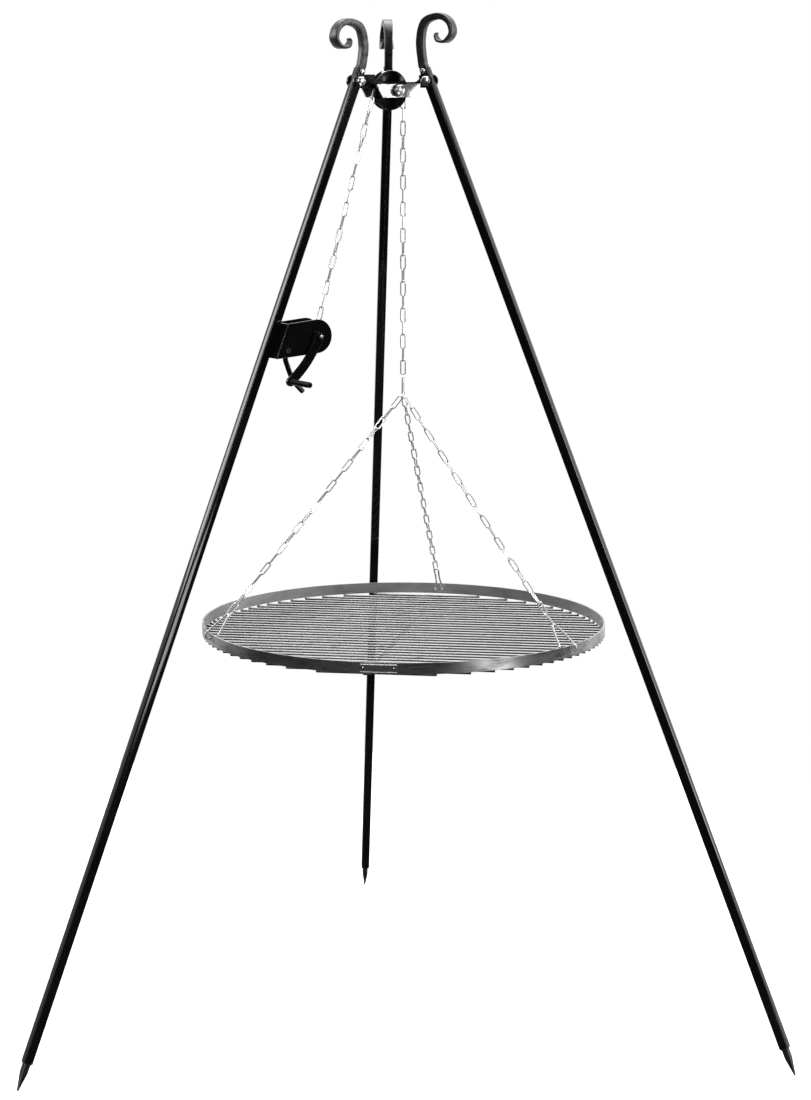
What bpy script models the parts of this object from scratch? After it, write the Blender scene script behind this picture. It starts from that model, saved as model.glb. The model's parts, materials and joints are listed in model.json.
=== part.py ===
"""Campfire tripod with a winch-hung round cooking grate.

Metres, +Z up. The tripod stands on three spikes at z = 0. A chain runs from a hand winch on the left leg
over a pulley in the hub and carries the grate on three shorter chains.
"""

import math

import bmesh
import bpy
from mathutils import Matrix, Vector

GAP = 0.0003                       # clearance between neighbouring pieces

# Tripod
HINGE_Z = 1.8785                   # height of the leg pivots
HINGE_R = 0.082                    # pivot's distance from the tripod's axis
FOOT_R = 0.856                     # spike tip's distance from the tripod's axis
LEG_SIDE = 0.018                   # square tube
LEG_WALL = 0.0015
LEG_TOP = 0.026                    # tube's length above its pivot
SPIKE_LENGTH = 0.055               # what shows of the spike below the tube
SPIKE_SIDE = 0.012
SPIKE_POINT = 0.036                # tapered part of the spike
SPIKE_TENON = 0.030                # part of the spike inside the tube
TIP_HALF = 0.0015                  # half the width of the spike's blunt tip
LEGS = (("left_leg", 210, 1), ("right_leg", 330, -1), ("rear_leg", 90, 1))   # name, azimuth, bolt head side

# Scrolls, forged by hand, so that no two are the same height
SCROLL_TOPS = {"left_leg": 1.998, "right_leg": 2.0076, "rear_leg": 1.9975}
SCROLL_MIDDLE = (0.1025, 0.0375)   # middle of the curl: distance from the axis, and below the top
SCROLL_CURL = ((200, 0.041), (145, 0.0355), (90, 0.031), (45, 0.030), (0, 0.0285), (-45, 0.0228), (-90, 0.016),
               (-135, 0.0092), (-170, 0.005))            # angle from outward, and the middle line's radius
SCROLL_FORGING = (                 # share of the length, thickness, width
    (0.0, 0.0142, 0.0142), (0.073, 0.0142, 0.0142), (0.077, 0.0155, 0.0155), (0.30, 0.0155, 0.0155),
    (0.56, 0.0130, 0.0185), (0.766, 0.0080, 0.0260), (0.86, 0.0058, 0.0290), (0.94, 0.0042, 0.0230),
    (1.0, 0.0032, 0.0140),
)
TENON_START, TENON_END = 0.0095, 0.0265    # part of a scroll inside the tube, above the pivot
SCREW_LIFT = 0.0205                # scroll screw's distance above the pivot, along the leg

# Hub, in a frame turned so that +X runs away from the winch leg and -Y is the side of the bolt heads
PULLEY_AZIMUTH = 30
PULLEY_S = -0.005                  # pulley's centre along +X
PULLEY_Z = 1.861
PULLEY_RADIUS = 0.0385
CHAIN_RADIUS = 0.0335              # chain's centreline on the pulley
SHEET_Z = (1.8735, 1.8765)         # the star-shaped hub sheet
SHEET_S = (-0.056, 0.050)
SHEET_HALF = 0.031
ARM_HALF = 0.0115
ARM_END = 0.0705
EAR_RADIUS = 0.013
EAR_IN, EAR_OUT = 0.0095, 0.0135   # clevis ears, from the leg's middle plane
CHEEK_S = -0.003
CHEEK_HALF_TOP, CHEEK_HALF_BOTTOM = 0.051, 0.036
CHEEK_DEPTH = 0.026
CHEEK_IN, CHEEK_OUT = 0.026, 0.030

# Chains and hangers
CHAIN_PITCH = 0.026
CHAIN_WIRE = 0.003
DROP_S = PULLEY_S + CHAIN_RADIUS
DROP_END = 1.3045                  # lower end of the drop chain
LIFT_UP = 2 * CHAIN_PITCH          # how far the winch can raise the grate from here
LIFT_DOWN = 16 * CHAIN_PITCH       # and lower it
HANGER_END = 1.257                 # where the three suspension chains meet
HANGER_AZIMUTH = 75
HOOK_WIRE = 0.002                  # radius of the hanger wires
HANGER_SPREAD, HANGER_BEND = 0.0075, 0.0042   # half the main hanger's width, radius of its end hooks
RING_WIRE = 0.00175                # radius of the wire of the ring that gathers the suspension chains

# Winch, on the left leg: distances from the tripod's axis, heights, and offsets towards the crank
DRUM_AT = (0.194, 1.396)
DRUM_CHAIN = 0.0155                # chain's centreline on the drum
BRACKET_TOP, BRACKET_BOTTOM = 1.4235, 1.3573
BRACKET_ROUND = 0.0325
BRACKET_Y = (-0.013, 0.034)
BRACKET_SHEET = 0.003
RATCHET_Y = (0.0195, 0.0235)
RATCHET_RADIUS, RATCHET_ROOT = 0.026, 0.0215
RATCHET_TEETH = 12
PAWL_AT = (0.260, 1.372)
PAWL_TAIL = ((0.2594, 1.353), (0.2552, 1.3417), (0.2509, 1.3303), (0.2455, 1.3190), (0.2345, 1.3035), (0.2207, 1.2900))
CRANK_Y = (0.0375, 0.0425)
GRIP_AT = (0.260, 1.313)
GRIP_Y = (0.0346, 0.110)
GRIP_RADIUS = 0.0058
CRANK_SAG = 0.0068                 # how far the curved arm bows from a straight line
CRANK_HALF = 0.009
CRANK_SHAFT = 0.0030               # radius of the shaft's thinner end, which carries the crank
PAWL_ROD = 0.0052                  # radius of the pawl's lever

# Grate
RIM_TOP = 0.8087
RIM_RADIUS = 0.404
RIM_HEIGHT = 0.022
RIM_THICK = 0.003
BAR_RADIUS = 0.0023
BAR_PITCH = 0.024
BAR_COUNT = 33
BAR_AZIMUTH = -12
BAR_END = 0.96                     # the bars are dressed a little thinner where they lie under the rim
BRACE_AZIMUTH = 75
BRACE_WIDTH, BRACE_THICK, BRACE_HALF = 0.008, 0.003, 0.390
HOOKS = (                          # azimuth, side of the leg that goes over the rim, half the spread of the two legs
    (-43, 1, 0.015), (74.5, 1, 0.0065), (197, -1, 0.015),
)
HOOK_HOLE_Z = -0.0120
HOOK_TOP = (-0.035, 0.038)         # top bend of a rim hook: outward of the rim, above it
PLATE_AZIMUTH, PLATE_HALF_ANGLE = 259, 4.9
PLATE_Z = (-0.003, -0.0185)

LEG_LEAN = math.atan2(FOOT_R - HINGE_R, HINGE_Z)
LEG_LENGTH = math.hypot(FOOT_R - HINGE_R, HINGE_Z)
DOWN = Vector((math.sin(LEG_LEAN), 0, -math.cos(LEG_LEAN)))      # along a leg, in the leg's own frame
OUT = Vector((math.cos(LEG_LEAN), 0, math.sin(LEG_LEAN)))        # square to a leg, away from the tripod's axis
SIDE = Vector((0, 1, 0))
BASE_SHIFT = -(FOOT_R - (math.cos(math.radians(30)) - 0.5) * TIP_HALF) / 4   # puts the box's middle at the origin


# ---------------------------------------------------------------- scene and materials
def clear_scene():
    for item in list(bpy.data.objects):
        bpy.data.objects.remove(item, do_unlink=True)


def material(name, colour, roughness, metallic):
    made = bpy.data.materials.new(name)
    made.use_nodes = True
    shader = made.node_tree.nodes["Principled BSDF"]
    shader.inputs["Base Color"].default_value = (*colour, 1)
    shader.inputs["Roughness"].default_value = roughness
    shader.inputs["Metallic"].default_value = metallic
    return made


def frame(name, parent, location, azimuth=0):
    """An empty that holds pieces: on a joint's axis, turned to face along an azimuth."""
    empty = bpy.data.objects.new(name, None)
    bpy.context.collection.objects.link(empty)
    empty.parent = parent
    empty.location = location
    empty.rotation_euler = (0, 0, math.radians(azimuth))
    return empty


# ---------------------------------------------------------------- shapes
def add_object(name, mesh, parent, look):
    made = bpy.data.objects.new(name, mesh)
    bpy.context.collection.objects.link(made)
    made.parent = parent
    if look:
        mesh.materials.append(look)
        mesh.shade_smooth()
        mesh.set_sharp_from_angle(angle=math.radians(35))
    return made


def closed_mesh(name, points, faces):
    """A mesh with its faces turned outward."""
    mesh = bpy.data.meshes.new(name)
    mesh.from_pydata([tuple(p) for p in points], [], faces)
    shape = bmesh.new()
    shape.from_mesh(mesh)
    bmesh.ops.recalc_face_normals(shape, faces=shape.faces)
    shape.to_mesh(mesh)
    shape.free()
    return mesh


def rings(name, loops, parent, look, closed=False):
    """A solid through equal loops of points. Closed joins the last loop to the first, as on a turned ring."""
    count = len(loops[0])
    points = [p for loop in loops for p in loop]
    faces = []
    for n in range(len(loops) if closed else len(loops) - 1):
        here, there = n * count, (n + 1) % len(loops) * count
        for i in range(count):
            j = (i + 1) % count
            faces.append((here + i, here + j, there + j, there + i))
    if not closed:
        faces.append(tuple(range(count)))
        faces.append(tuple(range(len(points) - count, len(points))))
    return add_object(name, closed_mesh(name, points, faces), parent, look)


def prism(name, outline, low, high, parent, look=None):
    """An outline in the XZ plane, given depth along Y from low to high."""
    return rings(name, [[(x, y, z) for x, z in outline] for y in (low, high)], parent, look)


def circle(radius, height, count=16, turn=0.0):
    steps = [turn + 2 * math.pi * n / count for n in range(count)]
    return [Vector((radius * math.cos(a), radius * math.sin(a), height)) for a in steps]


def hexagon(across, height):
    """A hexagon's corners and the middles of its sides, so that it joins a twelve-point circle."""
    corner = across / 2 / math.cos(math.radians(30))
    radii = [corner if n % 2 == 0 else across / 2 for n in range(12)]
    steps = [2 * math.pi * n / 12 for n in range(12)]
    return [Vector((r * math.cos(a), r * math.sin(a), height)) for r, a in zip(radii, steps)]


def arc(centre, radius, start, end, count):
    """Points on an arc in the XZ plane, with angles in degrees."""
    steps = [math.radians(start + (end - start) * n / (count - 1)) for n in range(count)]
    return [(centre[0] + radius * math.cos(a), centre[1] + radius * math.sin(a)) for a in steps]


def along_y(loops, low, facing=1):
    """Loops made along +Z are laid along Y, from low, towards +Y or -Y."""
    turn = Matrix.Rotation(math.radians(-90 * facing), 4, "X")
    return [[turn @ Vector(p) + SIDE * low for p in loop] for loop in loops]


def moved(loops, offset):
    return [[Vector(p) + Vector(offset) for p in loop] for loop in loops]


def turned(loops, low, high):
    """A turned ring between heights low and high: (inner radius, outer radius)."""
    inner, outer = loops
    count = 24 if outer > 0.012 else 16
    profile = ((outer, low), (outer, high), (inner, high), (inner, low))
    return [circle(r, z, count) for r, z in profile]


def smooth_path(points, step):
    """Points a step apart or less on a smooth curve through the given points."""
    points = [Vector(p) for p in points]
    ends = [2 * points[0] - points[1]] + points + [2 * points[-1] - points[-2]]
    path = []
    for n in range(1, len(ends) - 2):
        before, here, after, beyond = ends[n - 1:n + 3]
        parts = max(1, round((after - here).length / step))
        for i in range(parts):
            t = i / parts
            spline = 2 * here + (after - before) * t
            spline += (2 * before - 5 * here + 4 * after - beyond) * t ** 2
            spline += (3 * here - before - 3 * after + beyond) * t ** 3
            path.append(spline / 2)
    return path + [points[-1]]


def wire(name, points, radius, parent, look, resolution=2):
    """A round wire or rod along points."""
    curve = bpy.data.curves.new(name, "CURVE")
    curve.dimensions = "3D"
    curve.bevel_depth = radius
    curve.bevel_resolution = resolution
    curve.use_fill_caps = True
    spline = curve.splines.new("POLY")
    spline.points.add(len(points) - 1)
    for place, point in zip(spline.points, points):
        place.co = (*point, 1)
    curve.materials.append(look)
    made = bpy.data.objects.new(name, curve)
    bpy.context.collection.objects.link(made)
    made.parent = parent
    return made


def flat_bent_bar(name, line, radius, parent, look, count=12):
    """A round bar whose middle line stays in one plane, square to Y."""
    loops = []
    for n, point in enumerate(line):
        tangent = (line[min(n + 1, len(line) - 1)] - line[max(n - 1, 0)]).normalized()
        across = tangent.cross(SIDE)
        steps = [2 * math.pi * i / count for i in range(count)]
        loops.append([point + (across * math.cos(a) + SIDE * math.sin(a)) * radius for a in steps])
    return rings(name, loops, parent, look)


def combine(target, tools, operation):
    """Applies a Boolean with each tool in turn, and removes the tools."""
    for tool in tools:
        step = target.modifiers.new("combine", "BOOLEAN")
        step.operation = operation
        step.object = tool
        bpy.context.view_layer.update()
        result = bpy.data.meshes.new_from_object(target.evaluated_get(bpy.context.evaluated_depsgraph_get()))
        target.modifiers.clear()
        target.data = result
        bpy.data.objects.remove(tool, do_unlink=True)
    target.data.shade_smooth()
    target.data.set_sharp_from_angle(angle=math.radians(35))
    return target


def drill(parent, radius, point, direction, length, count=16):
    """A cylinder that cuts a round hole, centred on a point."""
    turn = Vector((0, 0, 1)).rotation_difference(Vector(direction)).to_matrix()
    ends = [circle(radius, h, count) for h in (-length / 2, length / 2)]
    return rings("drill", [[turn @ p + Vector(point) for p in loop] for loop in ends], parent, None)


def bolt(name, parent, look, point, facing, across, head, shank, length, washer=None):
    """A hexagon bolt along Y with its head facing +Y or -Y. The point is under its head, on its axis."""
    loops = [circle(shank, -length, 12), circle(shank, 0, 12)]
    top = 0.0
    if washer:
        top = washer[1]
        loops += [circle(washer[0], 0, 12), circle(washer[0], top, 12)]
    loops += [hexagon(across, top), hexagon(across, top + head * 0.85)]
    loops.append(circle(across * 0.46, top + head, 12))
    return rings(name, moved(along_y(loops, 0, facing), point), parent, look)


def nut(name, parent, look, point, facing, across, height, bore):
    """A hexagon nut along Y. The point is on its axis, on the face that meets the work."""
    loops = [circle(bore, 0, 12), hexagon(across, 0), hexagon(across, height), circle(bore, height, 12)]
    return rings(name, moved(along_y(loops, 0, facing), point), parent, look, closed=True)


# ---------------------------------------------------------------- legs
def leg_point(distance, out=0.0, side=0.0):
    """A point in a leg's frame: down the leg from the pivot, outward, and to the side."""
    return DOWN * distance + OUT * out + SIDE * side


def leg_loop(distance, half, shift=0.0):
    corners = ((-1, -1), (1, -1), (1, 1), (-1, 1))
    return [leg_point(distance, shift + half * a, half * b) for a, b in corners]


def make_leg_tube(name, hinge, look):
    outer, inner = LEG_SIDE / 2, LEG_SIDE / 2 - LEG_WALL
    end = LEG_LENGTH - SPIKE_LENGTH
    loops = [leg_loop(-LEG_TOP, outer), leg_loop(end, outer), leg_loop(end, inner), leg_loop(-LEG_TOP, inner)]
    tube = rings(name, loops, hinge, look, closed=True)
    holes = [drill(hinge, 0.0054, (0, 0, 0), SIDE, 0.03)]
    holes.append(drill(hinge, 0.0034, leg_point(-SCREW_LIFT), SIDE, 0.03, 12))
    return combine(tube, holes, "DIFFERENCE")


def make_spike(name, hinge, look):
    tube_end = LEG_LENGTH - SPIKE_LENGTH
    tenon = LEG_SIDE / 2 - LEG_WALL - GAP
    half = SPIKE_SIDE / 2
    loops = [leg_loop(tube_end - SPIKE_TENON, tenon), leg_loop(tube_end + GAP, tenon)]
    loops += [leg_loop(tube_end + 0.0035, half), leg_loop(LEG_LENGTH - SPIKE_POINT, half)]
    tip = leg_point(LEG_LENGTH)
    corners = ((-1, -1), (1, -1), (1, 1), (-1, 1))
    loops.append([tip + Vector((TIP_HALF * a, TIP_HALF * b, 0)) for a, b in corners])
    return rings(name, loops, hinge, look)


def scroll_line(top):
    """The middle line of a scroll in its leg's frame: a straight tenon, then a curl that tightens."""
    centre = Vector((SCROLL_MIDDLE[0] - HINGE_R, 0, top - SCROLL_MIDDLE[1] - HINGE_Z))
    bend = [leg_point(-TENON_END - 0.002), leg_point(-TENON_END - 0.0095)]
    for degrees, radius in SCROLL_CURL:
        angle = math.radians(degrees)
        bend.append(centre + Vector((math.cos(angle), 0, math.sin(angle))) * radius)
    return [leg_point(-TENON_START), leg_point(-TENON_END), leg_point(-TENON_END - 0.001)] + smooth_path(bend, 0.0055)


def forged_size(share):
    """The bar's thickness and width at a share of the scroll's length."""
    for before, after in zip(SCROLL_FORGING, SCROLL_FORGING[1:]):
        if share <= after[0]:
            part = (share - before[0]) / (after[0] - before[0])
            return [low + (high - low) * part for low, high in zip(before[1:], after[1:])]
    return SCROLL_FORGING[-1][1:]


def make_scroll(name, top, hinge, look):
    line = scroll_line(top)
    lengths = [0.0]
    for here, after in zip(line, line[1:]):
        lengths.append(lengths[-1] + (after - here).length)
    loops = []
    for n, point in enumerate(line):
        ahead, behind = line[min(n + 1, len(line) - 1)], line[max(n - 1, 0)]
        across = (ahead - behind).normalized().cross(SIDE)
        half_thick, half_wide = [size / 2 for size in forged_size(lengths[n] / lengths[-1])]
        corner = min(0.0015, half_thick * 0.4)
        a, b = half_thick - corner, half_wide - corner
        profile = (
            (-half_thick, -b), (-a, -half_wide), (a, -half_wide), (half_thick, -b),
            (half_thick, b), (a, half_wide), (-a, half_wide), (-half_thick, b),
        )
        loops.append([point + across * u + SIDE * v for u, v in profile])
    scroll = rings(name, loops, hinge, look)
    hole = drill(hinge, 0.0034, leg_point(-SCREW_LIFT), SIDE, 0.03, 12)
    return combine(scroll, [hole], "DIFFERENCE")


def make_leg(name, hinge, head_side, black, zinc, hub_holder):
    """One leg with its spike and scroll, and the bolt that it turns on, which belongs to the hub."""
    tube = make_leg_tube(name + "_tube", hinge, black)
    make_spike(name + "_spike", hinge, black)
    make_scroll(name + "_scroll", SCROLL_TOPS[name], hinge, black)
    screw_seat = leg_point(-SCREW_LIFT) + SIDE * head_side * (LEG_SIDE / 2 + GAP)
    bolt(name + "_scroll_screw", hinge, zinc, screw_seat, head_side, 0.009, 0.0035, 0.003, 0.021)
    seat = SIDE * head_side * (EAR_OUT + GAP)
    bolt(name + "_pivot_bolt", hub_holder, zinc, seat, head_side, 0.017, 0.0064, 0.005, 0.039, (0.0108, 0.0018))
    nut(name + "_pivot_nut", hub_holder, zinc, -seat, -head_side, 0.017, 0.0075, 0.0053)
    return tube


# ---------------------------------------------------------------- hub
def sheet_outline():
    """The hub sheet from above: a rectangle round the pulley with an arm to each leg, in the pulley's frame."""
    corners = {
        180: [(SHEET_S[0], ARM_HALF), (-ARM_END, ARM_HALF), (-ARM_END, -ARM_HALF), (SHEET_S[0], -ARM_HALF)],
    }
    for angle in (-60, 60):
        along = Vector((math.cos(math.radians(angle)), math.sin(math.radians(angle))))
        across = Vector((-along.y, along.x))
        sign = math.copysign(1, angle)
        edges = []
        for half in (ARM_HALF, -ARM_HALF):
            start = across * half
            reach = (SHEET_HALF * sign - start.y) / along.y
            edges.append([start + along * reach, start + along * ARM_END])
        left, right = edges
        corners[angle] = [tuple(p) for p in (right[0], right[1], left[1], left[0])]
    outline = corners[180]
    outline += [(SHEET_S[0], -SHEET_HALF)] + corners[-60] + [(SHEET_S[1], -SHEET_HALF)]
    outline += [(SHEET_S[1], SHEET_HALF)] + corners[60] + [(SHEET_S[0], SHEET_HALF)]
    return outline


def ear_outline(reach):
    """A clevis ear seen from the side, in a leg's frame: round at the pivot, hollowed down to the sheet inside."""
    low = SHEET_Z[0] - HINGE_Z + 0.0005
    outline = arc((0, 0), EAR_RADIUS, -90, 90, 13)
    if reach > 0.03:
        return outline + [(-reach, EAR_RADIUS), (-reach, -EAR_RADIUS)]
    hollow = EAR_RADIUS - low - 0.002
    outline += arc((-reach, EAR_RADIUS), hollow, 0, -90, 7)
    return outline + [(-reach, low), (-EAR_RADIUS, low), (-EAR_RADIUS, -EAR_RADIUS)]


def stop_outline():
    """The web that a leg's top leans against when it is spread, along the leg's inner face."""
    low, high = SHEET_Z[0] - HINGE_Z + 0.001, 0.0105
    foot = -(LEG_SIDE / 2 + GAP) / math.cos(LEG_LEAN)
    top = foot - high * math.tan(LEG_LEAN)
    thick = 0.004
    return [(foot, low), (foot, 0), (top, high), (top - thick, high), (foot - thick, low)]


def make_hub_frame(hub, holders, look):
    mesh_points = [[(x, y, z - HINGE_Z) for x, y in sheet_outline()] for z in SHEET_Z]
    sheet = rings("hub_frame", mesh_points, hub, look)
    slot_length, slot_half = 0.042, 0.0115
    ends = (PULLEY_S - slot_length, PULLEY_S + slot_length)
    slot = prism("slot", [(x, z) for x, z in ((ends[0], -0.02), (ends[1], -0.02), (ends[1], 0.01), (ends[0], 0.01))],
                 -slot_half, slot_half, hub)
    combine(sheet, [slot], "DIFFERENCE")
    welds, holes = [], []
    for name, holder in holders.items():
        reach = 0.036 if name == "left_leg" else 0.0285
        for side in (-1, 1):
            low, high = sorted((side * EAR_IN, side * EAR_OUT))
            welds.append(prism("ear", ear_outline(reach), low, high, holder))
        welds.append(prism("stop", stop_outline(), -EAR_IN - 0.001, EAR_IN + 0.001, holder))
        holes.append(drill(holder, 0.0054, (0, 0, 0), SIDE, 0.04))
    combine(sheet, welds, "UNION")
    return combine(sheet, holes, "DIFFERENCE")


def make_cheek(name, pulley, side, look):
    top = SHEET_Z[0] - GAP - PULLEY_Z
    bottom = top - CHEEK_DEPTH
    middle = CHEEK_S - PULLEY_S
    outline = [(middle - CHEEK_HALF_TOP, top), (middle - CHEEK_HALF_BOTTOM, bottom)]
    outline += [(middle + CHEEK_HALF_BOTTOM, bottom), (middle + CHEEK_HALF_TOP, top)]
    low, high = sorted((side * CHEEK_IN, side * CHEEK_OUT))
    cheek = prism(name, outline, low, high, pulley, look)
    return combine(cheek, [drill(pulley, 0.0064, (0, side * CHEEK_OUT, 0), SIDE, 0.02)], "DIFFERENCE")


def make_pulley(pulley, black, zinc):
    half, groove, core = 0.009, 0.0064, 0.0275
    profile = (
        (0.0064, -half), (PULLEY_RADIUS - 0.001, -half), (PULLEY_RADIUS, -half + 0.001),
        (PULLEY_RADIUS, -groove - 0.0004), (core, -groove + 0.0012), (core, groove - 0.0012),
        (PULLEY_RADIUS, groove + 0.0004), (PULLEY_RADIUS, half - 0.001), (PULLEY_RADIUS - 0.001, half),
        (0.0064, half),
    )
    rings("pulley_wheel", along_y([circle(r, z, 40) for r, z in profile], 0), pulley, black, closed=True)
    for name, side in (("near", -1), ("far", 1)):
        make_cheek("pulley_cheek_" + name, pulley, side, zinc)
        loops = turned((0.0064, 0.010), half + GAP, CHEEK_IN - GAP)
        rings("pulley_spacer_" + name, along_y(loops, 0, side), pulley, zinc, closed=True)
    seat = CHEEK_OUT + GAP
    bolt("pulley_axle_bolt", pulley, zinc, (0, -seat, 0), -1, 0.0195, 0.0075, 0.006, 0.076, (0.0125, 0.0025))
    nut("pulley_axle_nut", pulley, zinc, (0, seat, 0), 1, 0.0195, 0.010, 0.0063)


# ---------------------------------------------------------------- chains and hangers
def run_angle():
    """The winch chain's angle from the vertical, as a line that touches the pulley and crosses to the drum."""
    across = PULLEY_S + DRUM_AT[0]
    height = PULLEY_Z - DRUM_AT[1]
    return math.atan2(across, height) - math.asin((CHAIN_RADIUS + DRUM_CHAIN) / math.hypot(across, height))


def make_pulley_chain(pulley, look):
    """The stretch that lies on the pulley, with a short straight tail towards the winch."""
    angle = run_angle()
    along = Vector((-math.sin(angle), 0, -math.cos(angle)))
    start = Vector((-math.cos(angle), 0, math.sin(angle))) * CHAIN_RADIUS
    points = [start + along * 0.012, start + along * 0.006]
    steps = 20
    for n in range(steps + 1):
        turn = (math.pi - angle) * (1 - n / steps)
        points.append(Vector((math.cos(turn), 0, math.sin(turn))) * CHAIN_RADIUS)
    wire("pulley_chain", points, CHAIN_WIRE, pulley, look)


def make_winch_chain(hinge, look):
    """The stretch between the pulley and the drum, in the left leg's frame."""
    angle = run_angle()
    normal = Vector((math.cos(angle), 0, math.sin(angle)))
    pulley = Vector((-PULLEY_S - HINGE_R, 0, PULLEY_Z - HINGE_Z))
    drum = Vector((DRUM_AT[0] - HINGE_R, 0, DRUM_AT[1] - HINGE_Z))
    top, bottom = pulley + normal * CHAIN_RADIUS, drum - normal * DRUM_CHAIN
    along = (bottom - top).normalized()
    wire("winch_chain", [top + along * 0.016, bottom], CHAIN_WIRE, hinge, look)


def make_drop_chain(drop, look):
    """The drop chain as two lengths that telescope: the upper one stays, the lower one lifts."""
    length = PULLEY_Z - DROP_END
    upper = [circle(r, -z, 12) for r, z in (
        (0.0046, 0.003), (0.0046, LIFT_UP + LIFT_DOWN), (0.0037, LIFT_UP + LIFT_DOWN), (0.0037, 0.003))]
    rings("drop_chain_upper", upper, drop, look, closed=True)
    wire("drop_chain_lower", [(0, 0, -LIFT_UP - 2 * GAP), (0, 0, -length)], CHAIN_WIRE, drop, look)


def make_main_hanger(drop, look):
    """The narrow wire that hangs on the drop chain, with a hook at each end, and the ring that they hold."""
    top, bottom = DROP_END - GAP - HOOK_WIRE - PULLEY_Z, HANGER_END - PULLEY_Z
    hook_x, hook_z = HANGER_SPREAD - HANGER_BEND * 0.4, bottom + 0.004
    side = [(0.0, top), (0.0030, top - 0.0012), (0.0042, top - 0.006), (HANGER_SPREAD, bottom + 0.011)]
    half = side + arc((hook_x, hook_z), HANGER_BEND, 20, -160, 6)
    turn = Matrix.Rotation(math.radians(HANGER_AZIMUTH - PULLEY_AZIMUTH), 3, "Z")
    line = [turn @ Vector((-x, 0, z)) for x, z in reversed(half)] + [turn @ Vector((x, 0, z)) for x, z in half[1:]]
    wire("main_hanger", smooth_path(line, 0.003), HOOK_WIRE, drop, look)
    section = [2 * math.pi * n / 8 for n in range(8)]
    profile = [(hook_x + RING_WIRE * math.cos(a), hook_z + RING_WIRE * math.sin(a)) for a in section]
    rings("gather_ring", [circle(r, z, 20) for r, z in profile], drop, look, closed=True)


def make_suspension(grate, look):
    """Three straight chains from the main hanger to the rim hooks, and the hooks."""
    for number, (azimuth, side, half) in enumerate(HOOKS, 1):
        holder = frame(f"rim_hook_{number}_place", grate, (0, 0, 0), azimuth)
        gather = Vector((0, 0, HANGER_END - RIM_TOP))
        top = Vector((RIM_RADIUS + HOOK_TOP[0], 0, HOOK_TOP[1]))
        along = (top - gather).normalized()
        ends = [gather + along * 0.012, top - along * (HOOK_WIRE + GAP)]
        wire(f"suspension_chain_{number}", ends, CHAIN_WIRE, holder, look)
        make_rim_hook(number, side, half, holder, look)


def make_rim_hook(number, side, half, holder, look):
    """A bent wire: one leg over the rim into a hole from outside, the other into a hole from inside."""
    top_x, top_z = HOOK_TOP
    outside = [
        (top_x, 0.0, top_z), (top_x + 0.004, 0.0045, top_z - 0.003), (-0.014, half * 0.72, 0.0190),
        (0.0015, half * 0.96, 0.0052), (0.0060, half, 0.0005), (0.0075, half, -0.0055),
        (0.0045, half, HOOK_HOLE_Z + 0.0012), (-0.0005, half, HOOK_HOLE_Z),
    ]
    inside = [
        (top_x + 0.002, -0.0045, top_z - 0.004), (-0.0200, -half * 0.72, 0.0155),
        (-0.0100, -half * 0.97, 0.0020), (-0.0085, -half, -0.0060),
        (-0.0060, -half, HOOK_HOLE_Z + 0.0008), (-0.0022, -half, HOOK_HOLE_Z),
    ]
    line = [Vector((RIM_RADIUS + x, y * side, z)) for x, y, z in list(reversed(inside)) + outside]
    wire(f"rim_hook_{number}", smooth_path(line, 0.0045), HOOK_WIRE, holder, look)


# ---------------------------------------------------------------- grate
def make_rim(grate, look):
    inner = RIM_RADIUS - RIM_THICK
    profile = ((RIM_RADIUS, 0), (inner, 0), (inner, -RIM_HEIGHT), (RIM_RADIUS, -RIM_HEIGHT))
    rim = rings("grate_rim", [circle(r, z, 120) for r, z in profile], grate, look, closed=True)
    holes = []
    for azimuth, _, half in HOOKS:
        for side in (-1, 1):
            angle = math.radians(azimuth) + side * math.asin(half / RIM_RADIUS)
            out = Vector((math.cos(math.radians(azimuth)), math.sin(math.radians(azimuth)), 0))
            point = Vector((math.cos(angle), math.sin(angle), 0)) * RIM_RADIUS + Vector((0, 0, HOOK_HOLE_Z))
            holes.append(drill(grate, 0.0029, point, out, 0.02, 10))
    return combine(rim, holes, "DIFFERENCE")


def make_bars(grate, look):
    """Parallel bars under the rim, and the flat brace that is let into them from below and welded."""
    holder = frame("bars_place", grate, (0, 0, 0), BAR_AZIMUTH)
    centre_z = -RIM_HEIGHT - GAP - BAR_RADIUS
    top = centre_z - 0.0002
    half = BRACE_WIDTH / 2
    skew = Matrix.Rotation(math.radians(BRACE_AZIMUTH - BAR_AZIMUTH), 3, "Z")
    corners = ((-BRACE_HALF, -half), (BRACE_HALF, -half), (BRACE_HALF, half), (-BRACE_HALF, half))
    loops = [[skew @ Vector((x, y, z)) for x, y in corners] for z in (top - BRACE_THICK, top)]
    brace = rings("grate_bars", loops, holder, look)
    bars = []
    turn = Matrix.Rotation(math.radians(90), 3, "Y")
    for n in range(BAR_COUNT):
        offset = (n - (BAR_COUNT - 1) / 2) * BAR_PITCH
        reach, inside = [math.sqrt(r ** 2 - (abs(offset) + BAR_RADIUS) ** 2)
                         for r in (RIM_RADIUS - 0.001, RIM_RADIUS - RIM_THICK - 0.0015)]
        place = Vector((0, offset, centre_z))
        stations = ((-reach, BAR_END), (-inside, BAR_END), (-inside + 0.0005, 1), (inside - 0.0005, 1),
                    (inside, BAR_END), (reach, BAR_END))
        loops = [[turn @ p + place for p in circle(BAR_RADIUS * share, x, 8, math.radians(22.5))]
                 for x, share in stations]
        bars.append(rings("bar", loops, holder, None))
    return combine(brace, bars, "UNION")


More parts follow.
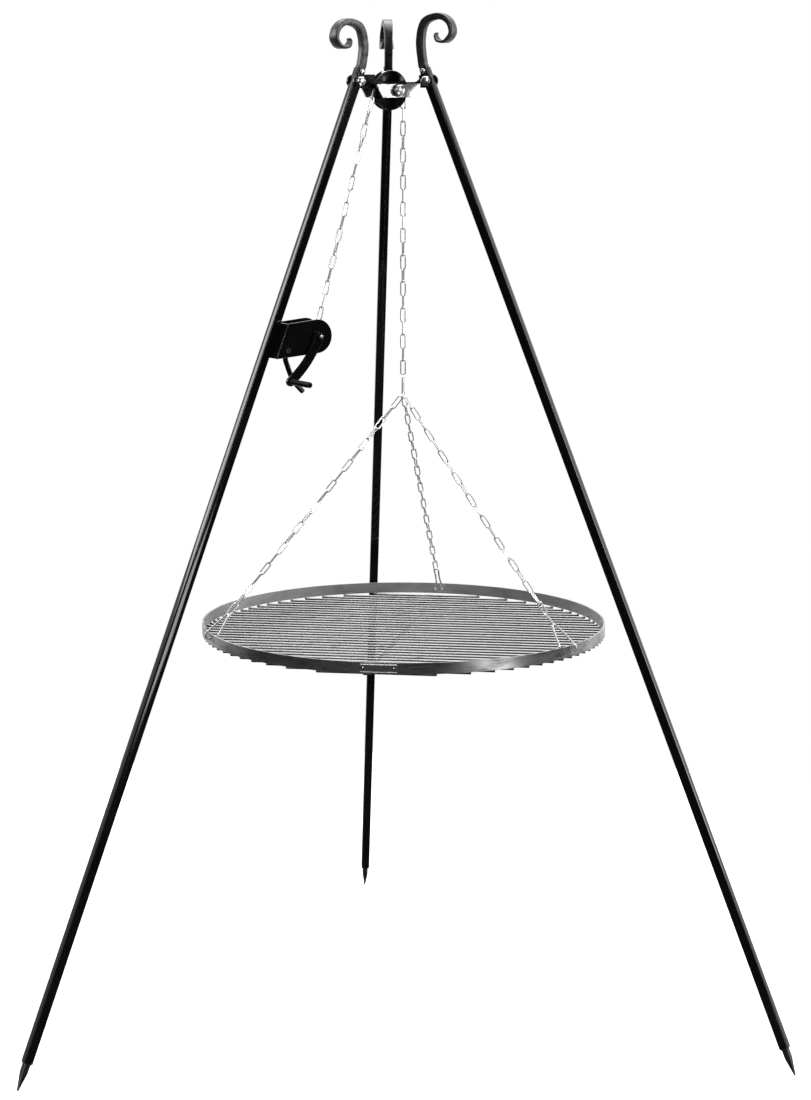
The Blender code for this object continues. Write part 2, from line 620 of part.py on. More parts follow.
def make_plate(grate, look, zinc):
    """A blank name plate on the rim's outer face, with a rivet at each end."""
    steps = 8
    inner, outer = RIM_RADIUS + GAP, RIM_RADIUS + GAP + 0.0012
    loops = []
    for n in range(steps + 1):
        angle = math.radians(PLATE_AZIMUTH + PLATE_HALF_ANGLE * (2 * n / steps - 1))
        out = Vector((math.cos(angle), math.sin(angle), 0))
        corners = ((inner, PLATE_Z[0]), (outer, PLATE_Z[0]), (outer, PLATE_Z[1]), (inner, PLATE_Z[1]))
        loops.append([out * r + Vector((0, 0, z)) for r, z in corners])
    rings("name_plate", loops, grate, look)
    for name, side in (("left", -1), ("right", 1)):
        azimuth = math.radians(PLATE_AZIMUTH + side * PLATE_HALF_ANGLE * 0.84)
        turn = Matrix.Rotation(azimuth, 3, "Z") @ Matrix.Rotation(math.radians(90), 3, "Y")
        dome = [circle(0.0024, 0, 12), circle(0.0021, 0.0008, 12), circle(0.0011, 0.0013, 12)]
        middle = Vector((math.cos(azimuth), math.sin(azimuth), 0)) * (outer + GAP)
        middle.z = sum(PLATE_Z) / 2
        rings(f"plate_rivet_{name}", [[turn @ p + middle for p in loop] for loop in dome], grate, zinc)


# ---------------------------------------------------------------- winch
def winch_point(at, y=0.0):
    """A point in the left leg's frame, from its distance from the tripod's axis and its height."""
    return Vector((at[0] - HINGE_R, y, at[1] - HINGE_Z))


def leg_face(height, stand_off):
    """Where the leg's inner face is at a height, less a stand-off, as a distance from the tripod's axis."""
    middle = HINGE_R + (HINGE_Z - height) * math.tan(LEG_LEAN)
    return middle - (LEG_SIDE / 2 + stand_off) / math.cos(LEG_LEAN)


def at_winch(outline):
    return [(x - HINGE_R, z - HINGE_Z) for x, z in outline]


def make_bracket(hinge, look):
    """A folded bracket: two side plates with a round nose at the drum, joined by a web along the leg."""
    top, bottom = BRACKET_TOP, BRACKET_BOTTOM
    side = [(leg_face(bottom, GAP), bottom), (leg_face(top, GAP), top)]
    side += arc(DRUM_AT, BRACKET_ROUND, 87, 267, 22)
    web = [(leg_face(bottom + 0.0005, 0.0007), bottom + 0.0005), (leg_face(top - 0.0005, 0.0007), top - 0.0005)]
    web += [(x - BRACKET_SHEET, z) for x, z in reversed(web)]
    far, near = BRACKET_Y
    bracket = prism("winch_bracket", at_winch(side), near - BRACKET_SHEET, near, hinge, look)
    parts = [prism("plate", at_winch(side), far, far + BRACKET_SHEET, hinge)]
    parts.append(prism("web", at_winch(web), far + 0.0005, near - 0.0005, hinge))
    combine(bracket, parts, "UNION")
    holes = [drill(hinge, 0.0055, winch_point(DRUM_AT, 0.010), SIDE, 0.08)]
    holes.append(drill(hinge, 0.0044, winch_point(PAWL_AT, 0.010), SIDE, 0.08, 12))
    holes += [drill(hinge, 0.0034, point, OUT, 0.016, 12) for point in mount_screw_points()]
    return combine(bracket, holes, "DIFFERENCE")


def mount_screw_points():
    """Where the two screws that hold the bracket cross the leg's inner face."""
    points = []
    for height in (1.409, 1.372):
        distance = (HINGE_Z - height) / math.cos(LEG_LEAN)
        points.append(leg_point(distance, -LEG_SIDE / 2, 0.0))
    return points


def make_mount_screws(hinge, look):
    head_gap = 0.0007 + BRACKET_SHEET * math.cos(LEG_LEAN) + GAP
    turn = Vector((0, 0, 1)).rotation_difference(-OUT).to_matrix()
    loops = [circle(0.003, -0.0085, 12), circle(0.003, 0, 12), hexagon(0.009, 0), hexagon(0.009, 0.003)]
    for name, point in zip(("upper", "lower"), mount_screw_points()):
        seat = point - OUT * head_gap
        rings(f"winch_screw_{name}", [[turn @ p + seat for p in loop] for loop in loops], hinge, look)


def make_drum(hinge, black, zinc):
    axle = winch_point(DRUM_AT)
    far, near = BRACKET_Y
    core, flange = DRUM_CHAIN - CHAIN_WIRE - 0.0003, 0.024
    inside = far + BRACKET_SHEET
    wall = inside + 0.0005
    profile = (
        (0.0055, wall), (flange, wall), (flange, wall + 0.0015), (core, wall + 0.0015),
        (core, RATCHET_Y[0] - GAP), (0.0055, RATCHET_Y[0] - GAP),
    )
    rings("winch_drum", moved(along_y([circle(r, z, 24) for r, z in profile], 0), axle), hinge, black, closed=True)
    wraps = turned((core + GAP, core + GAP + 0.0057), 0.0068, 0.0178)
    rings("winch_chain_wraps", moved(along_y(wraps, 0), axle), hinge, zinc, closed=True)
    shaft = ((0.0050, far - 0.0055), (0.0050, CRANK_Y[0] - GAP), (CRANK_SHAFT, CRANK_Y[0] - GAP),
             (CRANK_SHAFT, CRANK_Y[1] + 0.0064), (CRANK_SHAFT * 0.8, CRANK_Y[1] + 0.0070))
    rings("winch_shaft", moved(along_y([circle(r, z) for r, z in shaft], 0), axle), hinge, zinc)
    collar = turned((0.0053, 0.0085), far - 0.0048, far - GAP)
    rings("shaft_collar", moved(along_y(collar, 0), axle), hinge, zinc, closed=True)
    bush = turned((0.0053, 0.0080), near + GAP, CRANK_Y[0] - GAP)
    rings("crank_bush", moved(along_y(bush, 0), axle), hinge, black, closed=True)
    spacer = turned((0.0053, 0.0075), RATCHET_Y[1] + GAP, near - BRACKET_SHEET - GAP)
    rings("ratchet_spacer", moved(along_y(spacer, 0), axle), hinge, zinc, closed=True)
    nut("crank_nut", hinge, zinc, axle + SIDE * (CRANK_Y[1] + GAP), 1, 0.0105, 0.0050, CRANK_SHAFT + GAP)


def ratchet_outline():
    outline = []
    for n in range(RATCHET_TEETH):
        start = 360 / RATCHET_TEETH * n
        for share, radius in ((0.0, RATCHET_ROOT), (0.45, (RATCHET_ROOT + RATCHET_RADIUS) / 2), (0.9, RATCHET_RADIUS)):
            angle = math.radians(start + share * 360 / RATCHET_TEETH)
            outline.append((DRUM_AT[0] + radius * math.cos(angle), DRUM_AT[1] + radius * math.sin(angle)))
    return outline


def make_ratchet(hinge, look):
    wheel = prism("ratchet_wheel", at_winch(ratchet_outline()), *RATCHET_Y, hinge, look)
    return combine(wheel, [drill(hinge, 0.0055, winch_point(DRUM_AT, 0.02), SIDE, 0.02)], "DIFFERENCE")


def make_pawl(hinge, black, zinc):
    """The pawl, its long release lever and its pin. The nose stands just clear of the ratchet's teeth."""
    pivot, drum = Vector(PAWL_AT), Vector(DRUM_AT)
    contact = math.radians(-50)
    nose = drum + Vector((math.cos(contact), math.sin(contact))) * (RATCHET_RADIUS + 0.0005)
    along = (nose - pivot).normalized()
    across = Vector((-along.y, along.x))
    heel = math.degrees(math.atan2(-along.y, -along.x))
    outline = [tuple(nose), tuple(nose + across * 0.0025 - along * 0.010)]
    outline += [(pivot.x + 0.0095 * math.cos(a), pivot.y + 0.0095 * math.sin(a))
                for a in (math.radians(heel + 75 - 150 * n / 8) for n in range(9))][::-1]
    outline.append(tuple(nose - across * 0.0055 - along * 0.008))
    low, high = RATCHET_Y
    pawl = prism("pawl_lever", at_winch(outline), low, high, hinge, black)
    middle = (low + high) / 2
    line = [winch_point(at, middle) for at in ((PAWL_AT[0], PAWL_AT[1] - 0.007),) + PAWL_TAIL]
    handle = flat_bent_bar("handle", smooth_path(line, 0.008), PAWL_ROD, hinge, None)
    combine(pawl, [handle], "UNION")
    combine(pawl, [drill(hinge, 0.0044, winch_point(PAWL_AT, middle), SIDE, 0.02, 12)], "DIFFERENCE")
    far, near = BRACKET_Y
    pin = [circle(0.0040, far, 12), circle(0.0040, near, 12)]
    rings("pawl_pin", moved(along_y(pin, 0), winch_point(PAWL_AT)), hinge, zinc)
    spring = turned((0.0044, 0.0062), high + GAP, near - BRACKET_SHEET - GAP)
    rings("pawl_spring", moved(along_y(spring, 0), winch_point(PAWL_AT)), hinge, zinc, closed=True)


def crank_line():
    """The crank arm's middle line: an arc that bows away from a straight line by the sag."""
    start, end = Vector(DRUM_AT), Vector(GRIP_AT)
    chord = end - start
    radius = (chord.length ** 2 / 4 + CRANK_SAG ** 2) / (2 * CRANK_SAG)
    normal = Vector((chord.y, -chord.x)).normalized()
    centre = (start + end) / 2 - normal * (radius - CRANK_SAG)
    half = math.asin(chord.length / 2 / radius)
    middle = math.atan2(normal.y, normal.x)
    steps = 12
    angles = [middle + half * (1 - 2 * n / steps) for n in range(steps + 1)]
    if (centre + Vector((math.cos(angles[0]), math.sin(angles[0]))) * radius - start).length > 0.001:
        angles.reverse()
    return centre, radius, angles


def make_crank(hinge, black):
    centre, radius, angles = crank_line()
    turn = 1 if angles[-1] > angles[0] else -1
    outer = [centre + Vector((math.cos(a), math.sin(a))) * (radius + CRANK_HALF) for a in angles]
    inner = [centre + Vector((math.cos(a), math.sin(a))) * (radius - CRANK_HALF) for a in angles]
    ends = []
    for at, angle, way in ((GRIP_AT, angles[-1], 1), (DRUM_AT, angles[0] + math.pi, 1)):
        cap = [angle + way * turn * math.pi * n / 8 for n in range(1, 8)]
        ends.append([Vector(at) + Vector((math.cos(a), math.sin(a))) * CRANK_HALF for a in cap])
    outline = [tuple(p) for p in outer + ends[0] + inner[::-1] + ends[1]]
    arm = prism("crank_arm", at_winch(outline), *CRANK_Y, hinge, black)
    holes = [drill(hinge, CRANK_SHAFT + GAP, winch_point(DRUM_AT, CRANK_Y[0]), SIDE, 0.02)]
    holes.append(drill(hinge, GRIP_RADIUS + GAP, winch_point(GRIP_AT, CRANK_Y[0]), SIDE, 0.02))
    combine(arm, holes, "DIFFERENCE")
    low, high = GRIP_Y
    profile = ((0.0072, low), (0.0080, low + 0.0008), (0.0080, CRANK_Y[0] - GAP), (GRIP_RADIUS, CRANK_Y[0] - GAP),
               (GRIP_RADIUS, high - 0.001), (GRIP_RADIUS - 0.001, high))
    rings("crank_grip", moved(along_y([circle(r, z) for r, z in profile], 0), winch_point(GRIP_AT)), hinge, black)


def make_winch(hinge, tube, black, zinc):
    make_bracket(hinge, black)
    make_mount_screws(hinge, zinc)
    combine(tube, [drill(hinge, 0.0034, point, OUT, 0.008, 12) for point in mount_screw_points()], "DIFFERENCE")
    make_drum(hinge, black, zinc)
    make_ratchet(hinge, black)
    make_pawl(hinge, black, zinc)
    make_crank(hinge, black)


# ---------------------------------------------------------------- the whole
def build():
    clear_scene()
    black = material("black_paint", (0.012, 0.012, 0.013), 0.32, 0.0)
    zinc = material("bright_zinc", (0.74, 0.75, 0.76), 0.25, 1.0)
    steel = material("raw_steel", (0.50, 0.50, 0.49), 0.35, 1.0)

    base = frame("tripod", None, (0, BASE_SHIFT, 0))
    hub = frame("hub", base, (0, 0, HINGE_Z), PULLEY_AZIMUTH)
    hinges, holders = {}, {}
    for name, azimuth, head_side in LEGS:
        angle = math.radians(azimuth)
        place = (HINGE_R * math.cos(angle), HINGE_R * math.sin(angle), HINGE_Z)
        hinges[name] = frame(name + "_hinge", base, place, azimuth)
        holders[name] = frame(name + "_clevis", base, place, azimuth)
    make_hub_frame(hub, holders, black)
    tubes = {}
    for name, azimuth, head_side in LEGS:
        tubes[name] = make_leg(name, hinges[name], head_side, black, zinc, holders[name])

    facing = math.radians(PULLEY_AZIMUTH)
    along = Vector((math.cos(facing), math.sin(facing), 0))
    height = Vector((0, 0, PULLEY_Z))
    pulley = frame("pulley_axis", base, along * PULLEY_S + height, PULLEY_AZIMUTH)
    drop = frame("drop_axis", base, along * DROP_S + height, PULLEY_AZIMUTH)
    grate = frame("grate_axis", base, along * DROP_S + Vector((0, 0, RIM_TOP)))
    make_pulley(pulley, black, zinc)
    make_pulley_chain(pulley, zinc)
    make_winch_chain(hinges["left_leg"], zinc)
    make_drop_chain(drop, zinc)
    make_main_hanger(drop, zinc)
    make_suspension(grate, zinc)
    make_rim(grate, steel)
    make_bars(grate, steel)
    make_plate(grate, steel, zinc)
    make_winch(hinges["left_leg"], tubes["left_leg"], black, zinc)


build()
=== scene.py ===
"""Looks of the campfire tripod grate: chains, tubes, forged scrolls, bars, finishes, studio and camera."""

import json
import math

import bmesh
import bpy
from mathutils import Matrix, Vector, noise


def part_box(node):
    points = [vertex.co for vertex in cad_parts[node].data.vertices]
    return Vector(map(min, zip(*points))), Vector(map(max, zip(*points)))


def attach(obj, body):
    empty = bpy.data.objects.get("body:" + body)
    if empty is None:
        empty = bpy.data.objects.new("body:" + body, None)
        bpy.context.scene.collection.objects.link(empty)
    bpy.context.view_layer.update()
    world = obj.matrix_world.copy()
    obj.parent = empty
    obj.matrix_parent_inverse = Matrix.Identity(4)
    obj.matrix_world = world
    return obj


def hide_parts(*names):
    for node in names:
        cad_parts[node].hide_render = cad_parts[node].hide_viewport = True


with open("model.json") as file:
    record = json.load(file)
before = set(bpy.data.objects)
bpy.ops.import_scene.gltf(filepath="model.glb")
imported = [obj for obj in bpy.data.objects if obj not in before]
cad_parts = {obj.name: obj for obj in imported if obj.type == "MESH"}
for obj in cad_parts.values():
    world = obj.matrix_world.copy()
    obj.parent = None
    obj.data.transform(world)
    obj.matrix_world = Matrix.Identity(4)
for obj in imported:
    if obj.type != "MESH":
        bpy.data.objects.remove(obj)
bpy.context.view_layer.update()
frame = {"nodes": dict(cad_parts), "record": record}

NODES = frame["nodes"]
RECORD = frame["record"]
JOINTS = {joint["name"]: joint for joint in RECORD["behaviour"]["joints"]}
RATIOS = {link["joint"]: abs(link["ratio"]) for link in RECORD["behaviour"]["couplings"]}
TIPS = {mount["name"]: Vector(mount["pos_m"]) for mount in RECORD["mounts"]}
LEGS = ("left_leg", "right_leg", "rear_leg")
UP = Vector((0, 0, 1))


def pivot(joint):
    return Vector(JOINTS[joint]["pos_m"])


def azimuth(degrees):
    return Vector((math.cos(math.radians(degrees)), math.sin(math.radians(degrees)), 0))


TRIPOD_AXIS = sum((pivot(leg + "_fold") for leg in LEGS), Vector()) / 3
TRIPOD_AXIS.z = 0
INWARD = azimuth(30)               # from the winch and its leg to the tripod's axis
SHAFT = azimuth(300)               # along the shafts of the pulley, the drum and the pawl
LINK_SIDE = azimuth(-15)           # half way between the two


# ---------------------------------------------------------------- camera
CAMERA_DISTANCE = 5.4719
CAMERA_AZIMUTH = -2.019
CAMERA_ELEVATION = 9.756
CAMERA_ROLL = -0.408
CAMERA_AIM = (-0.2086, 0.9882)     # where it points: sideways of the tripod's axis, and height
FOCAL = 89.745
SENSOR = 36.0
CAMERA_SHIFT = (0.1080, -0.0146)


def make_camera():
    side, tilt = math.radians(CAMERA_AZIMUTH), math.radians(CAMERA_ELEVATION)
    back = Vector((math.sin(side) * math.cos(tilt), -math.cos(side) * math.cos(tilt), math.sin(tilt)))
    right = Vector((math.cos(side), math.sin(side), 0))
    place = TRIPOD_AXIS + right * CAMERA_AIM[0] + UP * CAMERA_AIM[1] + back * CAMERA_DISTANCE
    above = back.cross(right)
    roll = Matrix.Rotation(math.radians(CAMERA_ROLL), 4, "Z")
    turn = Matrix((right, above, back)).transposed().to_4x4() @ roll
    data = bpy.data.cameras.new("camera")
    data.lens = FOCAL
    data.sensor_width = SENSOR
    data.shift_x, data.shift_y = CAMERA_SHIFT
    data.clip_end = 100
    camera = bpy.data.objects.new("camera", data)
    camera.matrix_world = Matrix.Translation(place) @ turn
    bpy.context.collection.objects.link(camera)
    bpy.context.scene.camera = camera


# ---------------------------------------------------------------- material helpers
class Nodes:
    """Short names for building one material's node tree."""

    def __init__(self, name):
        self.material = bpy.data.materials.new(name)
        self.material.use_nodes = True
        self.tree = self.material.node_tree
        self.shader = self.tree.nodes["Principled BSDF"]
        self.place = self.add("ShaderNodeTexCoord").outputs["Object"]

    def add(self, kind, inputs=None, **settings):
        node = self.tree.nodes.new(kind)
        for key, value in settings.items():
            setattr(node, key, value)
        for key, value in (inputs or {}).items():
            self.put(value, node.inputs[key])
        return node

    def put(self, value, socket):
        if isinstance(value, bpy.types.NodeSocket):
            self.tree.links.new(value, socket)
        else:
            socket.default_value = value

    def noise(self, scale, detail=3.0, rough=0.5, place=None):
        inputs = {"Vector": place or self.place, "Scale": scale, "Detail": detail, "Roughness": rough}
        return self.add("ShaderNodeTexNoise", inputs).outputs["Fac"]

    def stretched(self, scale, rotation=(0, 0, 0), place=None):
        inputs = {"Vector": place or self.place, "Scale": scale, "Rotation": rotation}
        return self.add("ShaderNodeMapping", inputs, vector_type="TEXTURE").outputs["Vector"]

    def ranged(self, value, low, high, to_low, to_high):
        inputs = {"Value": value, "From Min": low, "From Max": high, "To Min": to_low, "To Max": to_high}
        return self.add("ShaderNodeMapRange", inputs).outputs["Result"]

    def math(self, operation, first, second=0.0):
        node = self.add("ShaderNodeMath", operation=operation)
        self.put(first, node.inputs[0])
        self.put(second, node.inputs[1])
        return node.outputs[0]

    def blend(self, factor, first, second):
        node = self.add("ShaderNodeMix", data_type="RGBA")
        self.put(factor, node.inputs[0])
        self.put(first, node.inputs[6])
        self.put(second, node.inputs[7])
        return node.outputs[2]

    def bump(self, height, distance, strength=1.0, normal=None):
        inputs = {"Height": height, "Distance": distance, "Strength": strength}
        if normal:
            inputs["Normal"] = normal
        return self.add("ShaderNodeBump", inputs).outputs["Normal"]

    def finish(self, **inputs):
        for key, value in inputs.items():
            self.put(value, self.shader.inputs[key.replace("_", " ")])
        return self.material


def edge_wear(nodes, radius=0.0012):
    """1 along edges, where the bevelled normal turns away from the true one."""
    bevel = nodes.add("ShaderNodeBevel", {"Radius": radius}, samples=4).outputs["Normal"]
    true = nodes.add("ShaderNodeNewGeometry").outputs["Normal"]
    dot = nodes.add("ShaderNodeVectorMath", operation="DOT_PRODUCT")
    nodes.put(bevel, dot.inputs[0])
    nodes.put(true, dot.inputs[1])
    flat, edge = 0.995, 0.90
    return nodes.ranged(dot.outputs["Value"], flat, edge, 0.0, 1.0)


def black_paint(name, roughness=0.09, wear_tone=0.10):
    """Stoved black paint: fine orange peel, faint dust, and thinner greyer paint on the edges."""
    n = Nodes(name)
    peel = n.noise(420, 2.0)
    cloud = n.noise(9, 4.0, 0.6)
    dust = n.ranged(n.noise(1400, 2.0, 0.6), 0.64, 0.82, 0.0, 1.0)
    wear = n.math("MULTIPLY", edge_wear(n), n.ranged(n.noise(60, 4.0, 0.7), 0.35, 0.65, 0.25, 1.0))
    deep, pale = (0.0018, 0.0018, 0.002, 1), (0.0035, 0.0035, 0.0038, 1)
    colour = n.blend(n.ranged(cloud, 0.3, 0.7, 0.0, 1.0), deep, pale)
    colour = n.blend(n.math("MULTIPLY", dust, 0.16), colour, (0.03, 0.03, 0.029, 1))
    colour = n.blend(n.math("MULTIPLY", wear, 0.55), colour, (wear_tone, wear_tone, wear_tone * 1.03, 1))
    rough = n.ranged(cloud, 0.25, 0.75, roughness - 0.03, roughness + 0.04)
    return n.finish(Base_Color=colour, Roughness=rough, Normal=n.bump(peel, 0.00003, 0.5), IOR=1.42)


def forged_paint(name):
    """Black paint over forge scale: dents of the hammer, pits, and grey rubbed ridges and edges."""
    n = Nodes(name)
    scale = n.noise(150, 5.0, 0.7)
    cells = {"Vector": n.place, "Scale": 95, "Smoothness": 0.8}
    blows = n.add("ShaderNodeTexVoronoi", cells, feature="SMOOTH_F1").outputs["Distance"]
    ridge = n.ranged(n.noise(330, 4.0, 0.65), 0.52, 0.74, 0.0, 1.0)
    wear = n.math("MAXIMUM", edge_wear(n, 0.0016), n.math("MULTIPLY", ridge, 0.16))
    deep, pale = (0.0028, 0.0028, 0.003, 1), (0.009, 0.009, 0.0095, 1)
    colour = n.blend(n.ranged(scale, 0.35, 0.7, 0.0, 1.0), deep, pale)
    colour = n.blend(n.math("MULTIPLY", wear, 0.7), colour, (0.24, 0.24, 0.245, 1))
    rough = n.ranged(scale, 0.3, 0.7, 0.26, 0.42)
    normal = n.bump(scale, 0.00012, 0.7, n.bump(blows, 0.0006, 0.6))
    return n.finish(Base_Color=colour, Roughness=rough, Normal=normal, IOR=1.5)


def zinc_plate(name, tint=(0.80, 0.81, 0.83), roughness=0.20, metallic=1.0):
    """Bright zinc: mirror-like with soft spangle, slightly dull patches and a fine grain."""
    n = Nodes(name)
    patch = n.noise(70, 4.0, 0.6)
    spangle = n.add("ShaderNodeTexVoronoi", {"Vector": n.place, "Scale": 260}).outputs["Color"]
    shade = n.add("ShaderNodeSeparateColor", {"Color": spangle}).outputs["Red"]
    dull = tuple(channel * 0.62 for channel in tint)
    colour = n.blend(n.ranged(patch, 0.35, 0.72, 0.0, 0.8), (*tint, 1), (*dull, 1))
    colour = n.blend(n.math("MULTIPLY", shade, 0.22), colour, (0.55, 0.56, 0.60, 1))
    rough = n.ranged(patch, 0.3, 0.7, roughness - 0.05, roughness + 0.14)
    normal = n.bump(n.noise(900, 3.0, 0.6), 0.00003, 0.5)
    return n.finish(Base_Color=colour, Metallic=metallic, Roughness=rough, Normal=normal)


RIM_INNER_LIGHT_DEPTHS = (0.0026, 0.0012)      # depths under the rim's outside between which the light painted onto its inner face, and that face's extra roughness, fade out


def rim_steel():
    """Cold-rolled strip bent into a ring: long rolling lines, darker blotches, and a rougher inner face with
    light painted onto it.
    """
    n = Nodes("rolled_steel_rim")
    shifted = n.add("ShaderNodeVectorMath", operation="SUBTRACT")
    n.put(n.place, shifted.inputs[0])
    n.put(tuple(centre_of("grate_rim")), shifted.inputs[1])
    split = n.add("ShaderNodeSeparateXYZ", {"Vector": shifted.outputs["Vector"]})
    around = n.math("ARCTAN2", split.outputs["Y"], split.outputs["X"])
    along = n.math("MULTIPLY", around, 0.4)
    roll = n.add("ShaderNodeCombineXYZ", {"X": along, "Z": split.outputs["Z"]}).outputs["Vector"]
    lines = n.noise(1.0, 5.0, 0.65, n.stretched((0.05, 1, 0.0009), place=roll))
    blotch = n.noise(1.0, 5.0, 0.60, n.stretched((0.13, 1, 0.045), place=roll))
    fine = n.noise(1.0, 3.0, 0.7, n.stretched((0.012, 1, 0.0003), place=roll))
    colour = n.blend(n.ranged(blotch, 0.40, 0.60, 0.0, 1.0), (0.42, 0.42, 0.415, 1), (0.11, 0.108, 0.105, 1))
    streaks = n.math("MULTIPLY", n.ranged(lines, 0.42, 0.62, 0.0, 1.0), 0.5)
    colour = n.blend(streaks, colour, (0.56, 0.56, 0.555, 1))
    flat = n.add("ShaderNodeCombineXYZ", {"X": split.outputs["X"], "Y": split.outputs["Y"]}).outputs["Vector"]
    length = n.add("ShaderNodeVectorMath", operation="LENGTH")
    n.put(flat, length.inputs[0])
    outside = rim_measures()[1]
    depth = n.math("SUBTRACT", outside, length.outputs["Value"])
    # painted light: the inner face is blended towards pale grey to stand in for the light it catches, and it
    # is also made rougher
    inner = n.ranged(depth, *RIM_INNER_LIGHT_DEPTHS, 1.0, 0.0)
    colour = n.blend(n.math("MULTIPLY", inner, 0.45), colour, (0.56, 0.56, 0.55, 1))
    rough = n.math("ADD", n.ranged(lines, 0.3, 0.7, 0.26, 0.38), n.ranged(blotch, 0.3, 0.7, -0.03, 0.07))
    rough = n.math("ADD", rough, n.math("MULTIPLY", inner, 0.12))
    normal = n.bump(fine, 0.00002, 0.5, n.bump(lines, 0.00003, 0.5))
    return n.finish(Base_Color=colour, Metallic=0.95, Roughness=rough, Normal=normal)


def bar_steel(bar_azimuth):
    """Drawn round bar: grain along each bar and a few darker scale marks."""
    n = Nodes("drawn_bar_steel")
    grain_place = n.stretched((0.09, 0.0006, 0.0006), (0, 0, math.radians(bar_azimuth)))
    grain = n.noise(1.0, 4.0, 0.65, grain_place)
    scale = n.noise(22, 5.0, 0.65)
    colour = n.blend(n.ranged(grain, 0.3, 0.7, 0.0, 1.0), (0.27, 0.27, 0.266, 1), (0.17, 0.17, 0.167, 1))
    colour = n.blend(n.ranged(scale, 0.58, 0.72, 0.0, 0.7), colour, (0.10, 0.096, 0.092, 1))
    rough = n.math("ADD", n.ranged(grain, 0.3, 0.7, 0.34, 0.44), n.ranged(scale, 0.55, 0.7, 0.0, 0.10))
    normal = n.bump(grain, 0.00002, 0.5)
    return n.finish(Base_Color=colour, Metallic=1.0, Roughness=rough, Normal=normal)


def mill_scale():
    """Rough dark scale on the brace, which was left as it was rolled."""
    n = Nodes("mill_scale_steel")
    flake = n.noise(90, 5.0, 0.7)
    colour = n.blend(n.ranged(flake, 0.4, 0.65, 0.0, 1.0), (0.010, 0.010, 0.011, 1), (0.035, 0.032, 0.030, 1))
    normal = n.bump(flake, 0.00012, 0.6)
    return n.finish(Base_Color=colour, Roughness=0.85, Specular_IOR_Level=0.1, Normal=normal)


PLATE_BORDER = (0.0018, 0.0012)    # depths inside the plate's upper and lower edge where its border begins


def plate_steel():
    """The blank name plate: dark anodised sheet with a bright border along its upper and lower edge."""
    n = Nodes("blank_plate")
    low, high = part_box("name_plate")
    height = n.add("ShaderNodeSeparateXYZ", {"Vector": n.place}).outputs["Z"]
    middle, half = (low[2] + high[2]) / 2, (high[2] - low[2]) / 2
    off = n.math("ABSOLUTE", n.math("SUBTRACT", height, middle))
    border = n.ranged(off, half - PLATE_BORDER[0], half - PLATE_BORDER[1], 0.0, 1.0)
    brushed = n.noise(1.0, 3.0, 0.6, n.stretched((0.02, 0.02, 0.0004)))
    colour = n.blend(n.ranged(brushed, 0.3, 0.7, 0.0, 1.0), (0.15, 0.15, 0.152, 1), (0.22, 0.22, 0.22, 1))
    colour = n.blend(border, colour, (0.78, 0.78, 0.78, 1))
    metallic = n.ranged(border, 0.0, 1.0, 0.8, 0.3)
    normal = n.bump(brushed, 0.00003, 0.5)
    return n.finish(Base_Color=colour, Metallic=metallic, Roughness=0.34, Normal=normal)


def weld_steel():
    """Weld beads: rippled, bluish-brown heat tint over grey."""
    n = Nodes("weld_bead_steel")
    tint = n.noise(180, 3.0, 0.6)
    colour = n.blend(n.ranged(tint, 0.35, 0.65, 0.0, 1.0), (0.30, 0.28, 0.26, 1), (0.16, 0.17, 0.20, 1))
    ripple = n.noise(1500, 2.0, 0.5)
    return n.finish(Base_Color=colour, Metallic=1.0, Roughness=0.42, Normal=n.bump(ripple, 0.0002, 0.5))


# ---------------------------------------------------------------- mesh helpers
SAME_POINT = 0.00002               # a CAD mesh's points that are closer than this become one
FLAT_ANGLE = 0.7                   # degrees: neighbouring faces that differ by less become one
HARD_ANGLE = 32                    # degrees: edges that turn by more are rounded


def centre_of(node):
    low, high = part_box(node)
    return (Vector(low) + Vector(high)) / 2


def angles(count):
    """Equal steps round a circle."""
    return [2 * math.pi * n / count for n in range(count)]


def add_object(name, mesh):
    made = bpy.data.objects.new(name, mesh)
    bpy.context.collection.objects.link(made)
    return made


def smooth(mesh, angle=35):
    mesh.shade_smooth()
    mesh.set_sharp_from_angle(angle=math.radians(angle))


def finished(shape, name, angle=35):
    """An object from a bmesh, with its faces turned outward."""
    bmesh.ops.recalc_face_normals(shape, faces=shape.faces)
    mesh = bpy.data.meshes.new(name)
    shape.to_mesh(mesh)
    shape.free()
    smooth(mesh, angle)
    return add_object(name, mesh)


def skin(shape, loops, closed=False):
    """Adds a surface through equal loops of points: capped at its ends, or joined round when closed."""
    rows = [[shape.verts.new(point) for point in loop] for loop in loops]
    pairs = list(zip(rows, rows[1:]))
    if closed:
        pairs.append((rows[-1], rows[0]))
    count = len(rows[0])
    for here, there in pairs:
        for i in range(count):
            j = (i + 1) % count
            shape.faces.new((here[i], here[j], there[j], there[i]))
    if not closed:
        shape.faces.new(rows[0])
        shape.faces.new(list(reversed(rows[-1])))


def tube(name, line, radius, sides, end_round=0.0):
    """A round bar along a line, with frames carried along it so that it doesn't twist."""
    shape = bmesh.new()
    loops = []
    tangent = (line[1] - line[0]).normalized()
    across = tangent.orthogonal().normalized()
    for n, point in enumerate(line):
        ahead = (line[min(n + 1, len(line) - 1)] - line[max(n - 1, 0)]).normalized()
        across = (across - ahead * across.dot(ahead)).normalized()
        up = ahead.cross(across)
        loops.append([point + (across * math.cos(a) + up * math.sin(a)) * radius for a in angles(sides)])
    if end_round:
        first, last = loops[0], loops[-1]
        start, end = line[0], line[-1]
        back, forth = (line[0] - line[1]).normalized(), (line[-1] - line[-2]).normalized()
        narrowed = 0.62
        loops.insert(0, [start + (p - start) * narrowed + back * end_round for p in first])
        loops.append([end + (p - end) * narrowed + forth * end_round for p in last])
    skin(shape, loops)
    return finished(shape, name, 50)


